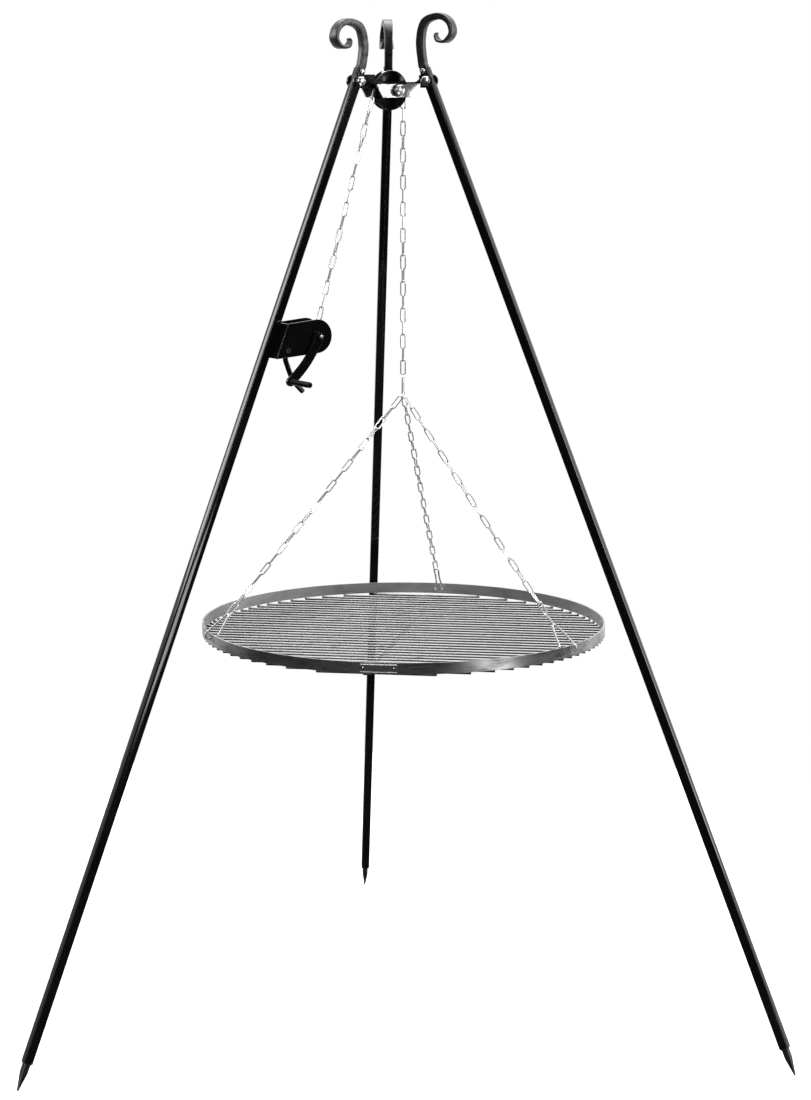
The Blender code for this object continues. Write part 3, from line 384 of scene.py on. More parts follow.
def baked(piece):
    """Applies a piece's modifiers."""
    bpy.context.view_layer.update()
    evaluated = piece.evaluated_get(bpy.context.evaluated_depsgraph_get())
    mesh = bpy.data.meshes.new_from_object(evaluated)
    piece.modifiers.clear()
    piece.data = mesh
    return piece


def cut(piece, tools):
    """Takes the tools away from a piece, one after another, and removes them."""
    for tool in tools:
        step = piece.modifiers.new("cut", "BOOLEAN")
        step.operation = "DIFFERENCE"
        step.object = tool
        baked(piece)
        bpy.data.objects.remove(tool, do_unlink=True)
    smooth(piece.data)
    return piece


def drill(point, direction, radius, length):
    """A round tool centred on a point, for cutting a hole along a direction."""
    turn = UP.rotation_difference(direction).to_matrix()
    sides = 24
    loops = []
    for height in (-length / 2, length / 2):
        circle = [Vector((radius * math.cos(a), radius * math.sin(a), height)) for a in angles(sides)]
        loops.append([point + turn @ corner for corner in circle])
    shape = bmesh.new()
    skin(shape, loops)
    return finished(shape, "drill")


def refined(node, body, material, bevel=0.0004, segments=2, smooth_angle=35):
    """The CAD node's own shape with its hard edges rounded, as on real sheet and bar. It replaces the node."""
    mesh = NODES[node].data.copy()
    mesh.materials.clear()
    shape = bmesh.new()
    shape.from_mesh(mesh)
    bmesh.ops.remove_doubles(shape, verts=shape.verts, dist=SAME_POINT)
    bmesh.ops.dissolve_limit(
        shape, angle_limit=math.radians(FLAT_ANGLE), verts=shape.verts, edges=shape.edges,
        use_dissolve_boundaries=False
    )
    shape.to_mesh(mesh)
    shape.free()
    smooth(mesh, smooth_angle)
    piece = add_object(node + "_piece", mesh)
    edge = piece.modifiers.new("edge", "BEVEL")
    edge.width = bevel
    edge.segments = segments
    edge.limit_method = "ANGLE"
    edge.angle_limit = math.radians(HARD_ANGLE)
    edge.use_clamp_overlap = True
    edge.harden_normals = True
    return dressed(baked(piece), body, material, node)


def dressed(piece, body, material, *nodes):
    """Gives a piece its material and its body, and hides the CAD nodes that it stands for."""
    data = piece.data
    data.materials.clear()
    data.materials.append(material)
    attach(piece, body)
    if nodes:
        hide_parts(*nodes)
    return piece


def two_tone(piece, middle, facing, reach, second):
    """Gives a second material to a bolt's washer and shank, which lie within a reach of the middle plane."""
    piece.data.materials.append(second)
    for face in piece.data.polygons:
        if (face.center - middle).dot(facing) < reach:
            face.material_index = 1


def smooth_path(points, step):
    """Points about a step apart on a smooth curve through the given points."""
    ends = [2 * points[0] - points[1]] + points + [2 * points[-1] - points[-2]]
    path = []
    for n in range(1, len(ends) - 2):
        before, here, after, beyond = ends[n - 1:n + 3]
        parts = max(1, round((after - here).length / step))
        for i in range(parts):
            t = i / parts
            spline = 2 * here + (after - before) * t
            spline += (2 * before - 5 * here + 4 * after - beyond) * t ** 2
            spline += (3 * here - before - 3 * after + beyond) * t ** 3
            path.append(spline / 2)
    return path + [points[-1]]


# ---------------------------------------------------------------- chains
WIRE = 0.0015                      # radius of the chain's wire
LINK_WIDTH = 0.012                 # outside
PITCH = 0.026
HIDDEN = 0.0001                    # how much thinner the links inside moving links are
WIRE_SIDES = 10
BEND_POINTS = 9                    # on the half circle at each end of a link
TWIST = 9                          # most that a link is turned from its even place, in degrees
GOLDEN_ANGLE = 2.399               # in radians: spreads the twists without a visible pattern
DROP_END = 0.0016                  # from the lower end of the CAD's drop chain up to the first joint
LIFT_SPARE = 0.002                 # how far a moving joint may pass the pulley's level at the top of the lift


def link_loops(half_length, wire):
    """Loops round one link's wire: an oval along X, flat in XY, with its ends half_length from its middle."""
    bend = LINK_WIDTH / 2 - WIRE
    straight = half_length - bend
    centre_line = []
    for sign in (1, -1):
        for n in range(BEND_POINTS):
            angle = math.radians(-90 + 180 * n / (BEND_POINTS - 1))
            x, y = straight + bend * math.cos(angle), bend * math.sin(angle)
            centre_line.append(Vector((sign * x, sign * y, 0)))
    loops = []
    for n, point in enumerate(centre_line):
        tangent = (centre_line[(n + 1) % len(centre_line)] - centre_line[n - 1]).normalized()
        across = tangent.cross(UP)
        loops.append([point + (across * math.cos(a) + UP * math.sin(a)) * wire for a in angles(WIRE_SIDES)])
    return loops


def add_link(shape, start, end, side, wire=WIRE):
    """One link between the middles of its two joints. It lies flat along the given side direction."""
    along = (end - start).normalized()
    across = (side - along * side.dot(along)).normalized()
    face = along.cross(across)
    turn = Matrix((along, across, face)).transposed()
    middle = (start + end) / 2
    half_length = (end - start).length / 2 + WIRE
    loops = link_loops(half_length, wire)
    skin(shape, [[middle + turn @ point for point in loop] for loop in loops], closed=True)


def twist(number):
    """How far a link is turned from its even place, in degrees: the same in every run."""
    return TWIST * math.sin(number * GOLDEN_ANGLE + 0.7)


def add_chain(shape, joints, first_side, wire=WIRE, start_number=0):
    """Links between successive joints, each turned a quarter from the last."""
    for n, (start, end) in enumerate(zip(joints, joints[1:])):
        along = (end - start).normalized()
        turn = 90 * ((n + start_number) % 2) + twist(n + start_number)
        add_link(shape, start, end, Matrix.Rotation(math.radians(turn), 3, along) @ first_side, wire)


def drop_joints():
    """The drop chain's joints from its lower end up to the pulley's level."""
    top = pivot("grate_swing")
    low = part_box("drop_chain_lower")[0][2] + DROP_END
    count = math.ceil((top.z - low) / PITCH)
    return [Vector((top.x, top.y, low + PITCH * n)) for n in range(count + 1)]


def make_drop_chain(zinc):
    """The links that rise and fall, and the links that stay, which lie inside them at rest."""
    joints = drop_joints()
    top = pivot("grate_swing").z
    lowest, highest = JOINTS["grate_lift"]["range_m"]
    moving = [p for p in joints if p.z < top - highest + LIFT_SPARE]
    shape = bmesh.new()
    add_chain(shape, moving, LINK_SIDE)
    piece = finished(shape, "drop_chain_links")
    dressed(piece, "lift", zinc, "drop_chain_lower")
    first = next(n for n, p in enumerate(joints) if p.z > top - highest + lowest - PITCH / 2)
    shape = bmesh.new()
    add_chain(shape, joints[first:-1], LINK_SIDE, WIRE - HIDDEN, first)
    piece = finished(shape, "upper_chain_links")
    dressed(piece, "chain_swing", zinc, "drop_chain_upper")
    return joints[-1], len(joints) - 1


def run_ends():
    """The ends of the straight stretch from the pulley to the drum's inner side."""
    pulley, drum = pivot("pulley_turn"), pivot("crank_turn")
    on_pulley, on_drum = 1 / RATIOS["pulley_turn"], 1 / RATIOS["crank_turn"]
    across = (drum - pulley).dot(-INWARD)
    height = pulley.z - drum.z
    angle = math.atan2(across, height) - math.asin((on_pulley + on_drum) / math.hypot(across, height))
    normal = -INWARD * math.cos(angle) + UP * math.sin(angle)
    return pulley + normal * on_pulley, drum - normal * on_drum, angle


def walk(points, step):
    """Points a chord's step apart along a finely drawn line."""
    found = [points[0]]
    for here, after in zip(points, points[1:]):
        while (after - found[-1]).length >= step:
            reach = after - here
            low, high = 0.0, 1.0
            for _ in range(30):
                middle = (low + high) / 2
                if (here + reach * middle - found[-1]).length < step:
                    low = middle
                else:
                    high = middle
            found.append(here + reach * high)
    return found


def make_winch_side_chain(zinc, start, number):
    """From the top of the drop, over the pulley and down to the drum."""
    pulley = pivot("pulley_turn")
    radius = 1 / RATIOS["pulley_turn"]
    top, bottom, angle = run_ends()
    on_wheel, on_run = 80, 200         # points that draw the stretch on the wheel and the straight one
    line = [start]
    for n in range(on_wheel + 1):
        turn = (math.pi - angle) * n / on_wheel
        line.append(pulley + INWARD * math.cos(turn) * radius + UP * math.sin(turn) * radius)
    line += [top.lerp(bottom, n / on_run) for n in range(1, on_run + 1)]
    joints = walk(line, PITCH)
    tail = (joints[-1] - joints[-2]).normalized()
    least_gap = PITCH * 0.4            # a longer gap before the drum takes one more link
    if (bottom - joints[-1]).length > least_gap:
        joints.append(joints[-1] + tail * PITCH)
    leaving = radius + 0.006           # a joint farther out than this belongs to the straight stretch
    over = [p for p in joints if (p - pulley).length < leaving]
    shape = bmesh.new()
    add_chain(shape, over, (SHAFT + UP * 0.2).normalized(), start_number=number)
    dressed(finished(shape, "pulley_chain_links"), "root", zinc, "pulley_chain")
    rest = joints[len(over) - 1:]
    shape = bmesh.new()
    add_chain(shape, rest, LINK_SIDE, start_number=number + len(over) - 1)
    dressed(finished(shape, "winch_chain_links"), "left_leg", zinc, "winch_chain")


def make_chain_wraps(zinc):
    """Nearly two turns of links round the drum, beside the stretch that is paying off."""
    drum = pivot("crank_turn")
    loose = 0.0002
    radius = 1 / RATIOS["crank_turn"] + loose
    offset = (centre_of("winch_chain_wraps") - drum).dot(SHAFT)
    turns, per_turn = 1.8, 6
    count = round(turns * per_turn)
    width = 0.006
    points = []
    for n in range(count + 1):
        turn = math.pi + 2 * math.pi * n / per_turn
        drift = offset - width / 2 + width * n / count
        points.append(drum + INWARD * math.cos(turn) * radius + UP * math.sin(turn) * radius + SHAFT * drift)
    shape = bmesh.new()
    for n, (start, end) in enumerate(zip(points, points[1:])):
        out = ((start + end) / 2 - drum).normalized()
        flat = SHAFT if n % 2 else (SHAFT + out).normalized()
        add_link(shape, start, end, flat)
    dressed(finished(shape, "wound_chain_links"), "winch_drum", zinc, "winch_chain_wraps")


# ---------------------------------------------------------------- suspension
HOOKS = (                          # azimuth, side of the leg over the rim, half the spread of the two legs
    (-43, 1, 0.015), (74.5, 1, 0.0065), (197, -1, 0.015),
)
HOOK_HOLE_Z = -0.012
HOOK_TOP = (-0.035, 0.038)         # top bend of a rim hook: outward of the rim, above it
HOOK_WIRE = 0.002
GATHER_WIRE = 0.00175
CHAIN_START = 0.0016               # from the gather ring's middle down to a suspension chain's first joint
SAG = 0.0025


def rim_measures():
    low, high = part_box("grate_rim")
    centre = Vector(((low[0] + high[0]) / 2, (low[1] + high[1]) / 2, high[2]))
    return centre, (high[0] - low[0]) / 2


def make_suspension(zinc):
    centre, radius = rim_measures()
    ring = centre_of("gather_ring")
    low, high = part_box("gather_ring")
    ring_radius = (high[0] - low[0]) / 2 - GATHER_WIRE
    for number, (degrees, side, half) in enumerate(HOOKS, 1):
        out = azimuth(degrees)
        make_rim_hook(number, centre + out * radius, out, UP.cross(out) * side, half, zinc)
        top = ring + out * ring_radius - UP * CHAIN_START
        bottom = centre + out * (radius + HOOK_TOP[0]) + UP * (HOOK_TOP[1] - HOOK_WIRE + WIRE)
        along = (bottom - top).normalized()
        top -= along * WIRE * 0.5
        count = round((bottom - top).length / PITCH)
        joints = [top.lerp(bottom, n / count) for n in range(count + 1)]
        for n in range(1, count):
            joints[n] -= UP * SAG * math.sin(math.pi * n / count)
        shape = bmesh.new()
        add_chain(shape, joints, azimuth(degrees + 90 + 20 * number))
        name = f"suspension_chain_{number}"
        dressed(finished(shape, name + "_links"), "grate", zinc, name)


def make_rim_hook(number, place, out, side, half, zinc):
    """A bent wire: one leg over the rim into a hole from outside, the other into a hole from inside."""
    top_x, top_z = HOOK_TOP
    outside = [
        (top_x, 0.0, top_z), (top_x + 0.004, 0.0045, top_z - 0.003), (-0.014, half * 0.72, 0.0190),
        (0.0015, half * 0.96, 0.0052), (0.0060, half, 0.0005), (0.0075, half, -0.0055),
        (0.0045, half, HOOK_HOLE_Z + 0.0012), (-0.0005, half, HOOK_HOLE_Z),
    ]
    inside = [
        (top_x + 0.002, -0.0045, top_z - 0.004), (-0.0200, -half * 0.72, 0.0155),
        (-0.0100, -half * 0.97, 0.0020), (-0.0085, -half, -0.0060),
        (-0.0060, -half, HOOK_HOLE_Z + 0.0008), (-0.0022, -half, HOOK_HOLE_Z),
    ]
    line = [place + out * x + side * y + UP * z for x, y, z in list(reversed(inside)) + outside]
    name = f"rim_hook_{number}"
    dressed(bent_wire(name + "_wire", line), "grate", zinc, name)


HANGER_SPREAD, HANGER_BEND = 0.0075, 0.0042   # half the main hanger's width, radius of its end hooks
HANGER_DROP = 0.004                # from the gather ring's middle down to the hooks' lowest points
HANGER_AZIMUTH = 75
PATH_STEP = 0.0012                 # between the points of a bent wire
WIRE_FINE_SIDES = 14
WIRE_END = 0.0003                  # how far the rounded end of a bent wire stands out


def bent_wire(name, points):
    return tube(name, smooth_path(points, PATH_STEP), HOOK_WIRE, WIRE_FINE_SIDES, WIRE_END)


def make_main_hanger(zinc):
    """The narrow wire that hangs on the drop chain, with a hook at each end."""
    axis = pivot("grate_swing")
    top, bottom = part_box("main_hanger")[1][2] - HOOK_WIRE, centre_of("gather_ring").z - HANGER_DROP
    hook_x, hook_z = HANGER_SPREAD - HANGER_BEND * 0.4, bottom + HANGER_DROP
    half = [(0.0, top), (0.0030, top - 0.0012), (0.0042, top - 0.006), (HANGER_SPREAD, bottom + 0.011)]
    for n in range(6):
        turn = math.radians(20 - 36 * n)
        half.append((hook_x + HANGER_BEND * math.cos(turn), hook_z + HANGER_BEND * math.sin(turn)))
    facing = azimuth(HANGER_AZIMUTH)
    line = [Vector((axis.x, axis.y, z)) - facing * x for x, z in reversed(half)]
    line += [Vector((axis.x, axis.y, z)) + facing * x for x, z in half[1:]]
    dressed(bent_wire("main_hanger_wire", line), "lift", zinc, "main_hanger")


# ---------------------------------------------------------------- legs
TUBE = 0.018
WALL = 0.0015
CORNER = 0.0024
TUBE_TOP = 0.026                   # above the pivot
SPIKE_SHOWN = 0.055
SCREW_LIFT = 0.0205
TUBE_EDGE = 0.0003                 # rounding of the tube's ends
BOLT_HOLE, SCREW_HOLE = 0.0054, 0.0034     # radii
THROUGH, ONE_WALL = 0.03, 0.008    # lengths of the tools for a hole through a leg and through one wall


def leg_frame(leg):
    """A leg's pivot, the direction down along it, outward square to it, and sideways."""
    hinge = pivot(leg + "_fold")
    down = (TIPS[leg + "_tip"] - hinge).normalized()
    flat_out = hinge - TRIPOD_AXIS
    flat_out.z = 0
    flat_out.normalize()
    side = UP.cross(flat_out)
    return hinge, down, (flat_out - down * flat_out.dot(down)).normalized(), side


def rounded_square(half, corner, steps):
    """Corners of a rounded square in its own plane."""
    points = []
    for quarter in range(4):
        angle = math.radians(90 * quarter)
        centre = Vector((half - corner, half - corner))
        centre.rotate(Matrix.Rotation(angle, 2))
        for n in range(steps + 1):
            turn = angle + math.radians(90) * n / steps
            points.append(centre + Vector((math.cos(turn), math.sin(turn))) * corner)
    return points


def make_leg_tube(leg, paint):
    """Square tube with rounded corners, open at its ends, with the holes for its bolt and screws."""
    hinge, down, out, side = leg_frame(leg)
    length = (TIPS[leg + "_tip"] - hinge).length - SPIKE_SHOWN
    steps = 4
    outside = rounded_square(TUBE / 2, CORNER, steps)
    edge = rounded_square(TUBE / 2 - TUBE_EDGE, CORNER - TUBE_EDGE, steps)
    inside = rounded_square(TUBE / 2 - WALL, CORNER - WALL * 0.7, steps)
    stations = (
        (-TUBE_TOP + TUBE_EDGE, outside), (length - TUBE_EDGE, outside), (length, edge), (length, inside),
        (-TUBE_TOP, inside), (-TUBE_TOP, edge),
    )
    shape = bmesh.new()
    loops = [[hinge + down * d + out * p.x + side * p.y for p in profile] for d, profile in stations]
    skin(shape, loops, closed=True)
    piece = finished(shape, leg + "_rounded_tube")
    tools = [
        drill(hinge, side, BOLT_HOLE, THROUGH), drill(hinge - down * SCREW_LIFT, side, SCREW_HOLE, THROUGH)
    ]
    if leg == "left_leg":
        for node in ("winch_screw_upper", "winch_screw_lower"):
            place = centre_of(node)
            wall = hinge + down * (place - hinge).dot(down) - out * TUBE / 2
            tools.append(drill(wall, out, SCREW_HOLE, ONE_WALL))
    cut(piece, tools)
    return dressed(piece, leg, paint, leg + "_tube")


SCROLL_TOPS = {"left_leg": 1.998, "right_leg": 2.0076, "rear_leg": 1.9975}
SCROLL_MIDDLE = (0.1025, 0.0375)   # middle of the curl: distance from the axis, and below the top
SCROLL_CURL = (                    # angle from outward, and the middle line's radius
    (200, 0.041), (145, 0.0355), (90, 0.031), (45, 0.030), (0, 0.0285), (-45, 0.0228), (-90, 0.016),
    (-135, 0.0092), (-170, 0.005),
)
SCROLL_FORGING = (                 # share of the length, thickness, width
    (0.0, 0.0142, 0.0142), (0.073, 0.0142, 0.0142), (0.077, 0.0155, 0.0155), (0.30, 0.0155, 0.0155),
    (0.56, 0.0130, 0.0185), (0.766, 0.0080, 0.0260), (0.86, 0.0058, 0.0290), (0.94, 0.0042, 0.0230),
    (1.0, 0.0032, 0.0140),
)
TENON_START, TENON_END = 0.0095, 0.0265    # part of a scroll inside the tube, above the pivot
SCROLL_STEP = 0.0011               # between the points of a scroll's middle line
SCROLL_CORNER = 0.0019             # radius of the forged bar's long edges
HAMMER_MARK = 0.00035


def scroll_line(leg):
    """The middle line of a scroll: a straight tenon, then a curl that tightens."""
    hinge, down, _, side = leg_frame(leg)
    flat_out = side.cross(UP)
    centre = TRIPOD_AXIS + flat_out * SCROLL_MIDDLE[0] + UP * (SCROLL_TOPS[leg] - SCROLL_MIDDLE[1])
    bend = [hinge - down * (TENON_END + 0.002), hinge - down * (TENON_END + 0.0095)]
    for degrees, radius in SCROLL_CURL:
        angle = math.radians(degrees)
        bend.append(centre + (flat_out * math.cos(angle) + UP * math.sin(angle)) * radius)
    tenon = [hinge - down * distance for distance in (TENON_START, TENON_END, TENON_END + 0.001)]
    return tenon + smooth_path(bend, SCROLL_STEP)


def forged_size(share):
    """Half the bar's thickness and width at a share of the scroll's length, with the marks of the hammer."""
    size = SCROLL_FORGING[-1][1:]
    for before, after in zip(SCROLL_FORGING, SCROLL_FORGING[1:]):
        if before[0] <= share <= after[0]:
            part = (share - before[0]) / (after[0] - before[0])
            size = [low + (high - low) * part for low, high in zip(before[1:], after[1:])]
            break
    marks = min(1.0, max(0.0, (share - 0.08) / 0.1))
    return [
        value / 2 + HAMMER_MARK * marks * noise.noise(Vector((share * pace, 3.1 * n, 0)))
        for n, (value, pace) in enumerate(zip(size, (26, 17)))
    ]


def forged_section(thick, wide):
    """Corners of the bar's cross section, which is a rectangle of twice these sizes with rounded edges."""
    corner = min(SCROLL_CORNER, thick * 0.7)
    steps = 4
    section = []
    for quarter, (a, b) in enumerate(((1, 1), (-1, 1), (-1, -1), (1, -1))):
        for i in range(steps + 1):
            turn = math.radians(90 * quarter + 90 * i / steps)
            u = a * (thick - corner) + corner * math.cos(turn)
            v = b * (wide - corner) + corner * math.sin(turn)
            section.append((u, v))
    return section


def make_scroll(leg, paint):
    hinge, down, _, side = leg_frame(leg)
    line = scroll_line(leg)
    lengths = [0.0]
    for here, after in zip(line, line[1:]):
        lengths.append(lengths[-1] + (after - here).length)
    shape = bmesh.new()
    loops = []
    for n, point in enumerate(line):
        ahead, behind = line[min(n + 1, len(line) - 1)], line[max(n - 1, 0)]
        across = (ahead - behind).normalized().cross(side)
        section = forged_section(*forged_size(lengths[n] / lengths[-1]))
        loops.append([point + across * u + side * v for u, v in section])
    tip = (line[-1] - line[-2]).normalized()
    middle = sum(loops[-1], Vector()) / len(loops[-1])
    end = loops[-1]
    for share, reach in ((0.82, 0.0007), (0.5, 0.0011)):
        loops.append([middle + (p - middle) * share + tip * reach for p in end])
    skin(shape, loops)
    piece = finished(shape, leg + "_forged_scroll", 50)
    cut(piece, [drill(hinge - down * SCREW_LIFT, side, SCREW_HOLE, THROUGH)])
    return dressed(piece, leg, paint, leg + "_scroll")


HEAD_SIDES = {"left_leg": 1, "right_leg": -1, "rear_leg": 1}     # side of each leg with its pivot bolt's head
PIVOT_SEAT, PIVOT_WASHER = 0.0138, 0.0018  # washer's seat from the leg's middle plane, and its thickness
AXLE_SEAT, AXLE_WASHER = 0.0303, 0.0025    # the same for the axle bolt, from the pulley's middle plane
MARGIN = 0.0001                    # how far past the washer its finish is looked for


def make_legs(paint, forged, zinc, oxide):
    for leg in LEGS:
        make_leg_tube(leg, paint)
        make_scroll(leg, forged)
        refined(leg + "_spike", leg, forged, 0.0009, 3)
        refined(leg + "_scroll_screw", leg, zinc, 0.00025)
        bolt = refined(leg + "_pivot_bolt", "root", zinc, 0.0004)
        facing = leg_frame(leg)[3] * HEAD_SIDES[leg]
        two_tone(bolt, pivot(leg + "_fold"), facing, PIVOT_SEAT + PIVOT_WASHER + MARGIN, oxide)
        refined(leg + "_pivot_nut", "root", zinc, 0.0004)


# ---------------------------------------------------------------- hub and winch
def make_hub(paint, zinc, sheet, oxide):
    refined("hub_frame", "root", paint, 0.0005, 2)
    for side in ("near", "far"):
        refined("pulley_cheek_" + side, "root", sheet, 0.0006, 2)
        refined("pulley_spacer_" + side, "root", zinc, 0.0003)
    refined("pulley_wheel", "pulley", paint, 0.0003)
    bolt = refined("pulley_axle_bolt", "root", zinc, 0.0005)
    two_tone(bolt, pivot("pulley_turn"), SHAFT, AXLE_SEAT + AXLE_WASHER + MARGIN, oxide)
    refined("pulley_axle_nut", "root", zinc, 0.0005)


def make_winch(paint, worn, zinc, oxide):
    refined("winch_bracket", "left_leg", worn, 0.0007, 3)
    refined("winch_drum", "winch_drum", paint, 0.0003)
    refined("ratchet_wheel", "winch_drum", paint, 0.0003)
    refined("crank_arm", "winch_drum", paint, 0.0007, 3)
    refined("crank_grip", "winch_drum", paint, 0.0005)
    refined("crank_bush", "winch_drum", paint, 0.0003)
    refined("pawl_lever", "pawl", paint, 0.0005)
    refined("crank_nut", "winch_drum", oxide, 0.0003)
    for node in ("winch_shaft", "shaft_collar", "ratchet_spacer"):
        refined(node, "winch_drum", zinc, 0.0003)
    refined("pawl_pin", "left_leg", oxide, 0.00025)
    for node in ("winch_screw_upper", "winch_screw_lower"):
        refined(node, "left_leg", zinc, 0.00025)
    make_pawl_spring(zinc)


def make_pawl_spring(zinc):
    """A coil spring round the pawl's pin, in the space of the CAD ring."""
    low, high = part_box("pawl_spring")
    middle = centre_of("pawl_spring")
    wire, length = 0.0005, 0.0064
    radius = (high[2] - low[2]) / 2 - wire
    turns, steps = 5, 20
    line = []
    for n in range(turns * steps + 1):
        turn = 2 * math.pi * n / steps
        drift = (n / (turns * steps) - 0.5) * (length - 2 * wire)
        line.append(middle + SHAFT * drift + (INWARD * math.cos(turn) + UP * math.sin(turn)) * radius)
    dressed(tube("pawl_coil_spring", line, wire, 8), "left_leg", zinc, "pawl_spring")


# ---------------------------------------------------------------- grate
BAR_RADIUS = 0.0023
BAR_PITCH = 0.024
BAR_COUNT = 33
BAR_AZIMUTH = -12
BRACE_AZIMUTH = 75
BAR_GAP = 0.0003                   # between the rim's lower edge and the bars
BAR_SIDES = 14
BAR_END_ROUND = 0.0008
BAR_END_IN = 0.001                 # from the rim's outside to a bar's end
BEAD_IN = 0.0045                   # from the rim's outside to the middle of a weld bead
BRACE_WIDTH, BRACE_THICK, BRACE_HALF = 0.008, 0.003, 0.390
BRACE_EDGE = 0.0006
BRACE_DOWN = 0.0002                # from the bars' middle plane down to the brace's top


def add_bar(shape, middle, reach, along, across):
    """A round bar with dressed ends, as long as twice its reach."""
    stations = ((-reach, 0.6), (-reach + BAR_END_ROUND, 0.93), (-reach + 2 * BAR_END_ROUND, 1.0))
    stations += tuple((-x, share) for x, share in reversed(stations))
    skin(shape, [
        [
            middle + along * x + (across * math.cos(a) + UP * math.sin(a)) * BAR_RADIUS * share
            for a in angles(BAR_SIDES)
        ]
        for x, share in stations
    ])


def add_brace(shape, top):
    """The flat bar across all the others."""
    half, edge = BRACE_WIDTH / 2, BRACE_EDGE
    corners = (
        (-half + edge, -BRACE_THICK), (half - edge, -BRACE_THICK), (half, -BRACE_THICK + edge), (half, -edge),
        (half - edge, 0), (-half + edge, 0), (-half, -edge), (-half, -BRACE_THICK + edge),
    )
    along, across = azimuth(BRACE_AZIMUTH), azimuth(BRACE_AZIMUTH - 90)
    ends = (top - along * BRACE_HALF, top + along * BRACE_HALF)
    skin(shape, [[end + across * x + UP * z for x, z in corners] for end in ends])


def make_bars(steel, weld, scale):
    """The bars, the brace under them, and the weld beads that hold them to the rim."""
    centre, radius = rim_measures()
    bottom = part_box("grate_rim")[0][2]
    along, across = azimuth(BAR_AZIMUTH), azimuth(BAR_AZIMUTH + 90)
    level = Vector((centre.x, centre.y, bottom - BAR_GAP - BAR_RADIUS))
    shape = bmesh.new()
    beads = bmesh.new()
    for n in range(BAR_COUNT):
        offset = (n - (BAR_COUNT - 1) / 2) * BAR_PITCH
        reach = math.sqrt((radius - BAR_END_IN) ** 2 - (abs(offset) + BAR_RADIUS) ** 2)
        add_bar(shape, level + across * offset, reach, along, across)
        inside = math.sqrt((radius - BEAD_IN) ** 2 - offset ** 2)
        for sign in (-1, 1):
            place = level + along * sign * inside + across * offset + UP * BAR_RADIUS * 0.9
            add_bead(beads, place, (place - centre).normalized(), n * 2 + sign)
    of_bars = len(shape.faces)
    add_brace(shape, level - UP * BRACE_DOWN)
    bars = dressed(finished(shape, "cooking_bars"), "grate", steel, "grate_bars")
    bars.data.materials.append(scale)
    for face in bars.data.polygons[of_bars:]:
        face.material_index = 1
    piece = finished(beads, "bar_weld_beads", 60)
    dressed(piece, "grate", weld)


def add_bead(shape, place, out, number):
    """A small lump of weld in the corner between a bar and the rim."""
    size = 0.0023 + 0.0004 * math.sin(number * 1.7)
    side = UP.cross(out).normalized()
    start = len(shape.verts)
    bmesh.ops.create_icosphere(shape, subdivisions=2, radius=1.0)
    shape.verts.ensure_lookup_table()
    for vertex in shape.verts[start:]:
        lump = 1 + 0.16 * noise.noise(vertex.co * 1.6 + Vector((number, 0, 0)))
        local = vertex.co * size * lump
        vertex.co = place + side * local.x * 1.5 + out * local.y * 0.8 + UP * local.z * 0.75


def make_grate(rim, steel, weld, plate, zinc, scale):
    refined("grate_rim", "grate", rim, 0.0004, 2, 30)
    make_bars(steel, weld, scale)
    refined("name_plate", "grate", plate, 0.0003, 2)
    for node in ("plate_rivet_left", "plate_rivet_right"):
        refined(node, "grate", zinc, 0.0001)
    refined("gather_ring", "lift", zinc, 0.0001, 1, 60)


# ---------------------------------------------------------------- studio
FLOOR_RADIUS = 1.9
FLOOR_DROP = 0.0002                # under the spikes' tips
BRIGHT_SIDE = (0.15, 0.72, 0.68)   # the studio's brightest direction
LIGHTS = (                         # name, place, what it points at, width and height, watts
    ("overhead_softbox", (0.2, 0.4, 4.2), (0, 0, 0), (3.6, 3.6), 230),
    ("right_softbox", (3.6, 0.6, 1.9), (0, 0, 1.0), (1.2, 2.6), 45),
    ("left_softbox", (-3.6, 1.3, 2.68), (0, 0, 1.2), (1.0, 1.7), 34),
    ("key_card", (2.9, -1.64, 2.32), (0, 0, 1.9), (0.9, 0.60), 28),
    ("low_card", (2.35, -2.55, 0.30), (0, 0, 0.78), (0.8, 0.5), 12),
    ("front_softbox", (-1.9, -4.2, 3.5), (0, 0, 1.4), (0.8, 2.0), 76),
)


def make_floor():
    shape = bmesh.new()
    bmesh.ops.create_circle(shape, cap_ends=True, segments=128, radius=FLOOR_RADIUS)
    floor = finished(shape, "floor")
    floor.location = (0, 0, -FLOOR_DROP)
    n = Nodes("pale_floor")
    tone = n.ranged(n.noise(3, 3.0), 0.3, 0.7, 0.90, 0.93)
    colour = n.add("ShaderNodeCombineColor", {"Red": tone, "Green": tone, "Blue": tone}).outputs["Color"]
    floor.data.materials.append(n.finish(Base_Color=colour, Roughness=0.9))
    floor.visible_glossy = False


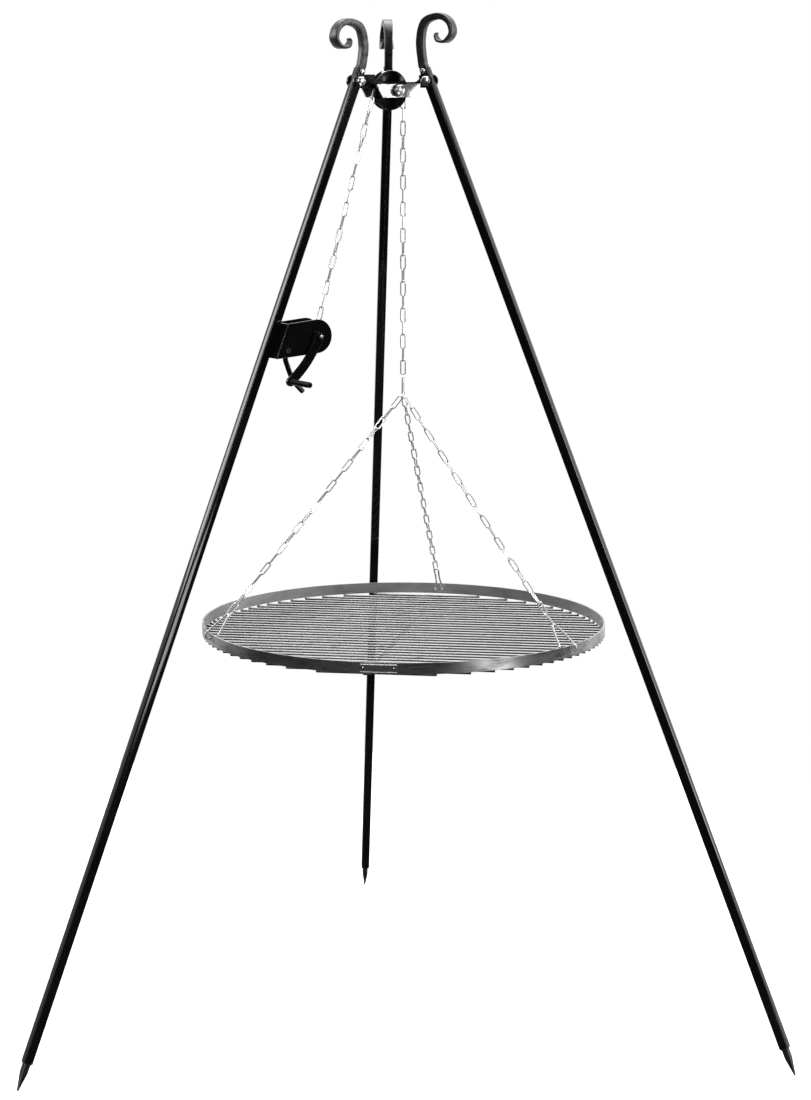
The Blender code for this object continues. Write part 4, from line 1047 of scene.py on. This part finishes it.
def make_world():
    """A white studio that is darker behind the camera, so that gloss and metal have something to reflect."""
    world = bpy.data.worlds.new("studio")
    bpy.context.scene.world = world
    world.use_nodes = True
    tree = world.node_tree
    tree.nodes.clear()
    direction = tree.nodes.new("ShaderNodeTexCoord").outputs["Generated"]
    dot = tree.nodes.new("ShaderNodeVectorMath")
    dot.operation = "DOT_PRODUCT"
    dot.inputs[1].default_value = BRIGHT_SIDE
    tree.links.new(direction, dot.inputs[0])
    ramp = tree.nodes.new("ShaderNodeMapRange")
    ramp.interpolation_type = "SMOOTHSTEP"
    for key, value in (("From Min", -0.25), ("From Max", 0.75), ("To Min", 0.02), ("To Max", 1.10)):
        ramp.inputs[key].default_value = value
    tree.links.new(dot.outputs["Value"], ramp.inputs["Value"])
    seen = tree.nodes.new("ShaderNodeLightPath").outputs["Is Camera Ray"]
    strength = tree.nodes.new("ShaderNodeMix")
    tree.links.new(seen, strength.inputs[0])
    tree.links.new(ramp.outputs["Result"], strength.inputs[2])
    strength.inputs[3].default_value = 1.0
    background = tree.nodes.new("ShaderNodeBackground")
    background.inputs["Color"].default_value = (1, 1, 1, 1)
    tree.links.new(strength.outputs[0], background.inputs["Strength"])
    output = tree.nodes.new("ShaderNodeOutputWorld")
    tree.links.new(background.outputs[0], output.inputs["Surface"])


def add_light(name, place, aim, size, power):
    data = bpy.data.lights.new(name, "AREA")
    data.shape = "RECTANGLE"
    data.size, data.size_y = size
    data.energy = power
    light = bpy.data.objects.new(name, data)
    light.location = place
    light.rotation_euler = (Vector(aim) - Vector(place)).to_track_quat("-Z", "Y").to_euler()
    bpy.context.collection.objects.link(light)


def main():
    make_camera()
    bpy.context.scene.view_settings.view_transform = "Standard"
    paint = black_paint("black_paint")
    forged = forged_paint("black_paint_on_forging")
    oxide = black_paint("black_oxide", 0.30, 0.14)
    zinc = zinc_plate("bright_zinc")
    sheet = zinc_plate("zinc_sheet", (0.74, 0.75, 0.76), 0.36)
    chain_zinc = zinc_plate("bright_zinc_chain", (0.76, 0.77, 0.78), 0.20, 0.70)
    rim = rim_steel()
    bars = bar_steel(BAR_AZIMUTH)
    weld = weld_steel()
    make_legs(paint, forged, zinc, oxide)
    make_hub(paint, zinc, sheet, oxide)
    make_winch(paint, black_paint("worn_black_paint", wear_tone=0.42), zinc, oxide)
    start, number = make_drop_chain(chain_zinc)
    make_winch_side_chain(chain_zinc, start, number)
    make_chain_wraps(chain_zinc)
    make_suspension(chain_zinc)
    make_main_hanger(chain_zinc)
    make_grate(rim, bars, weld, plate_steel(), zinc, mill_scale())
    make_floor()
    make_world()
    for light in LIGHTS:
        add_light(*light)


main()
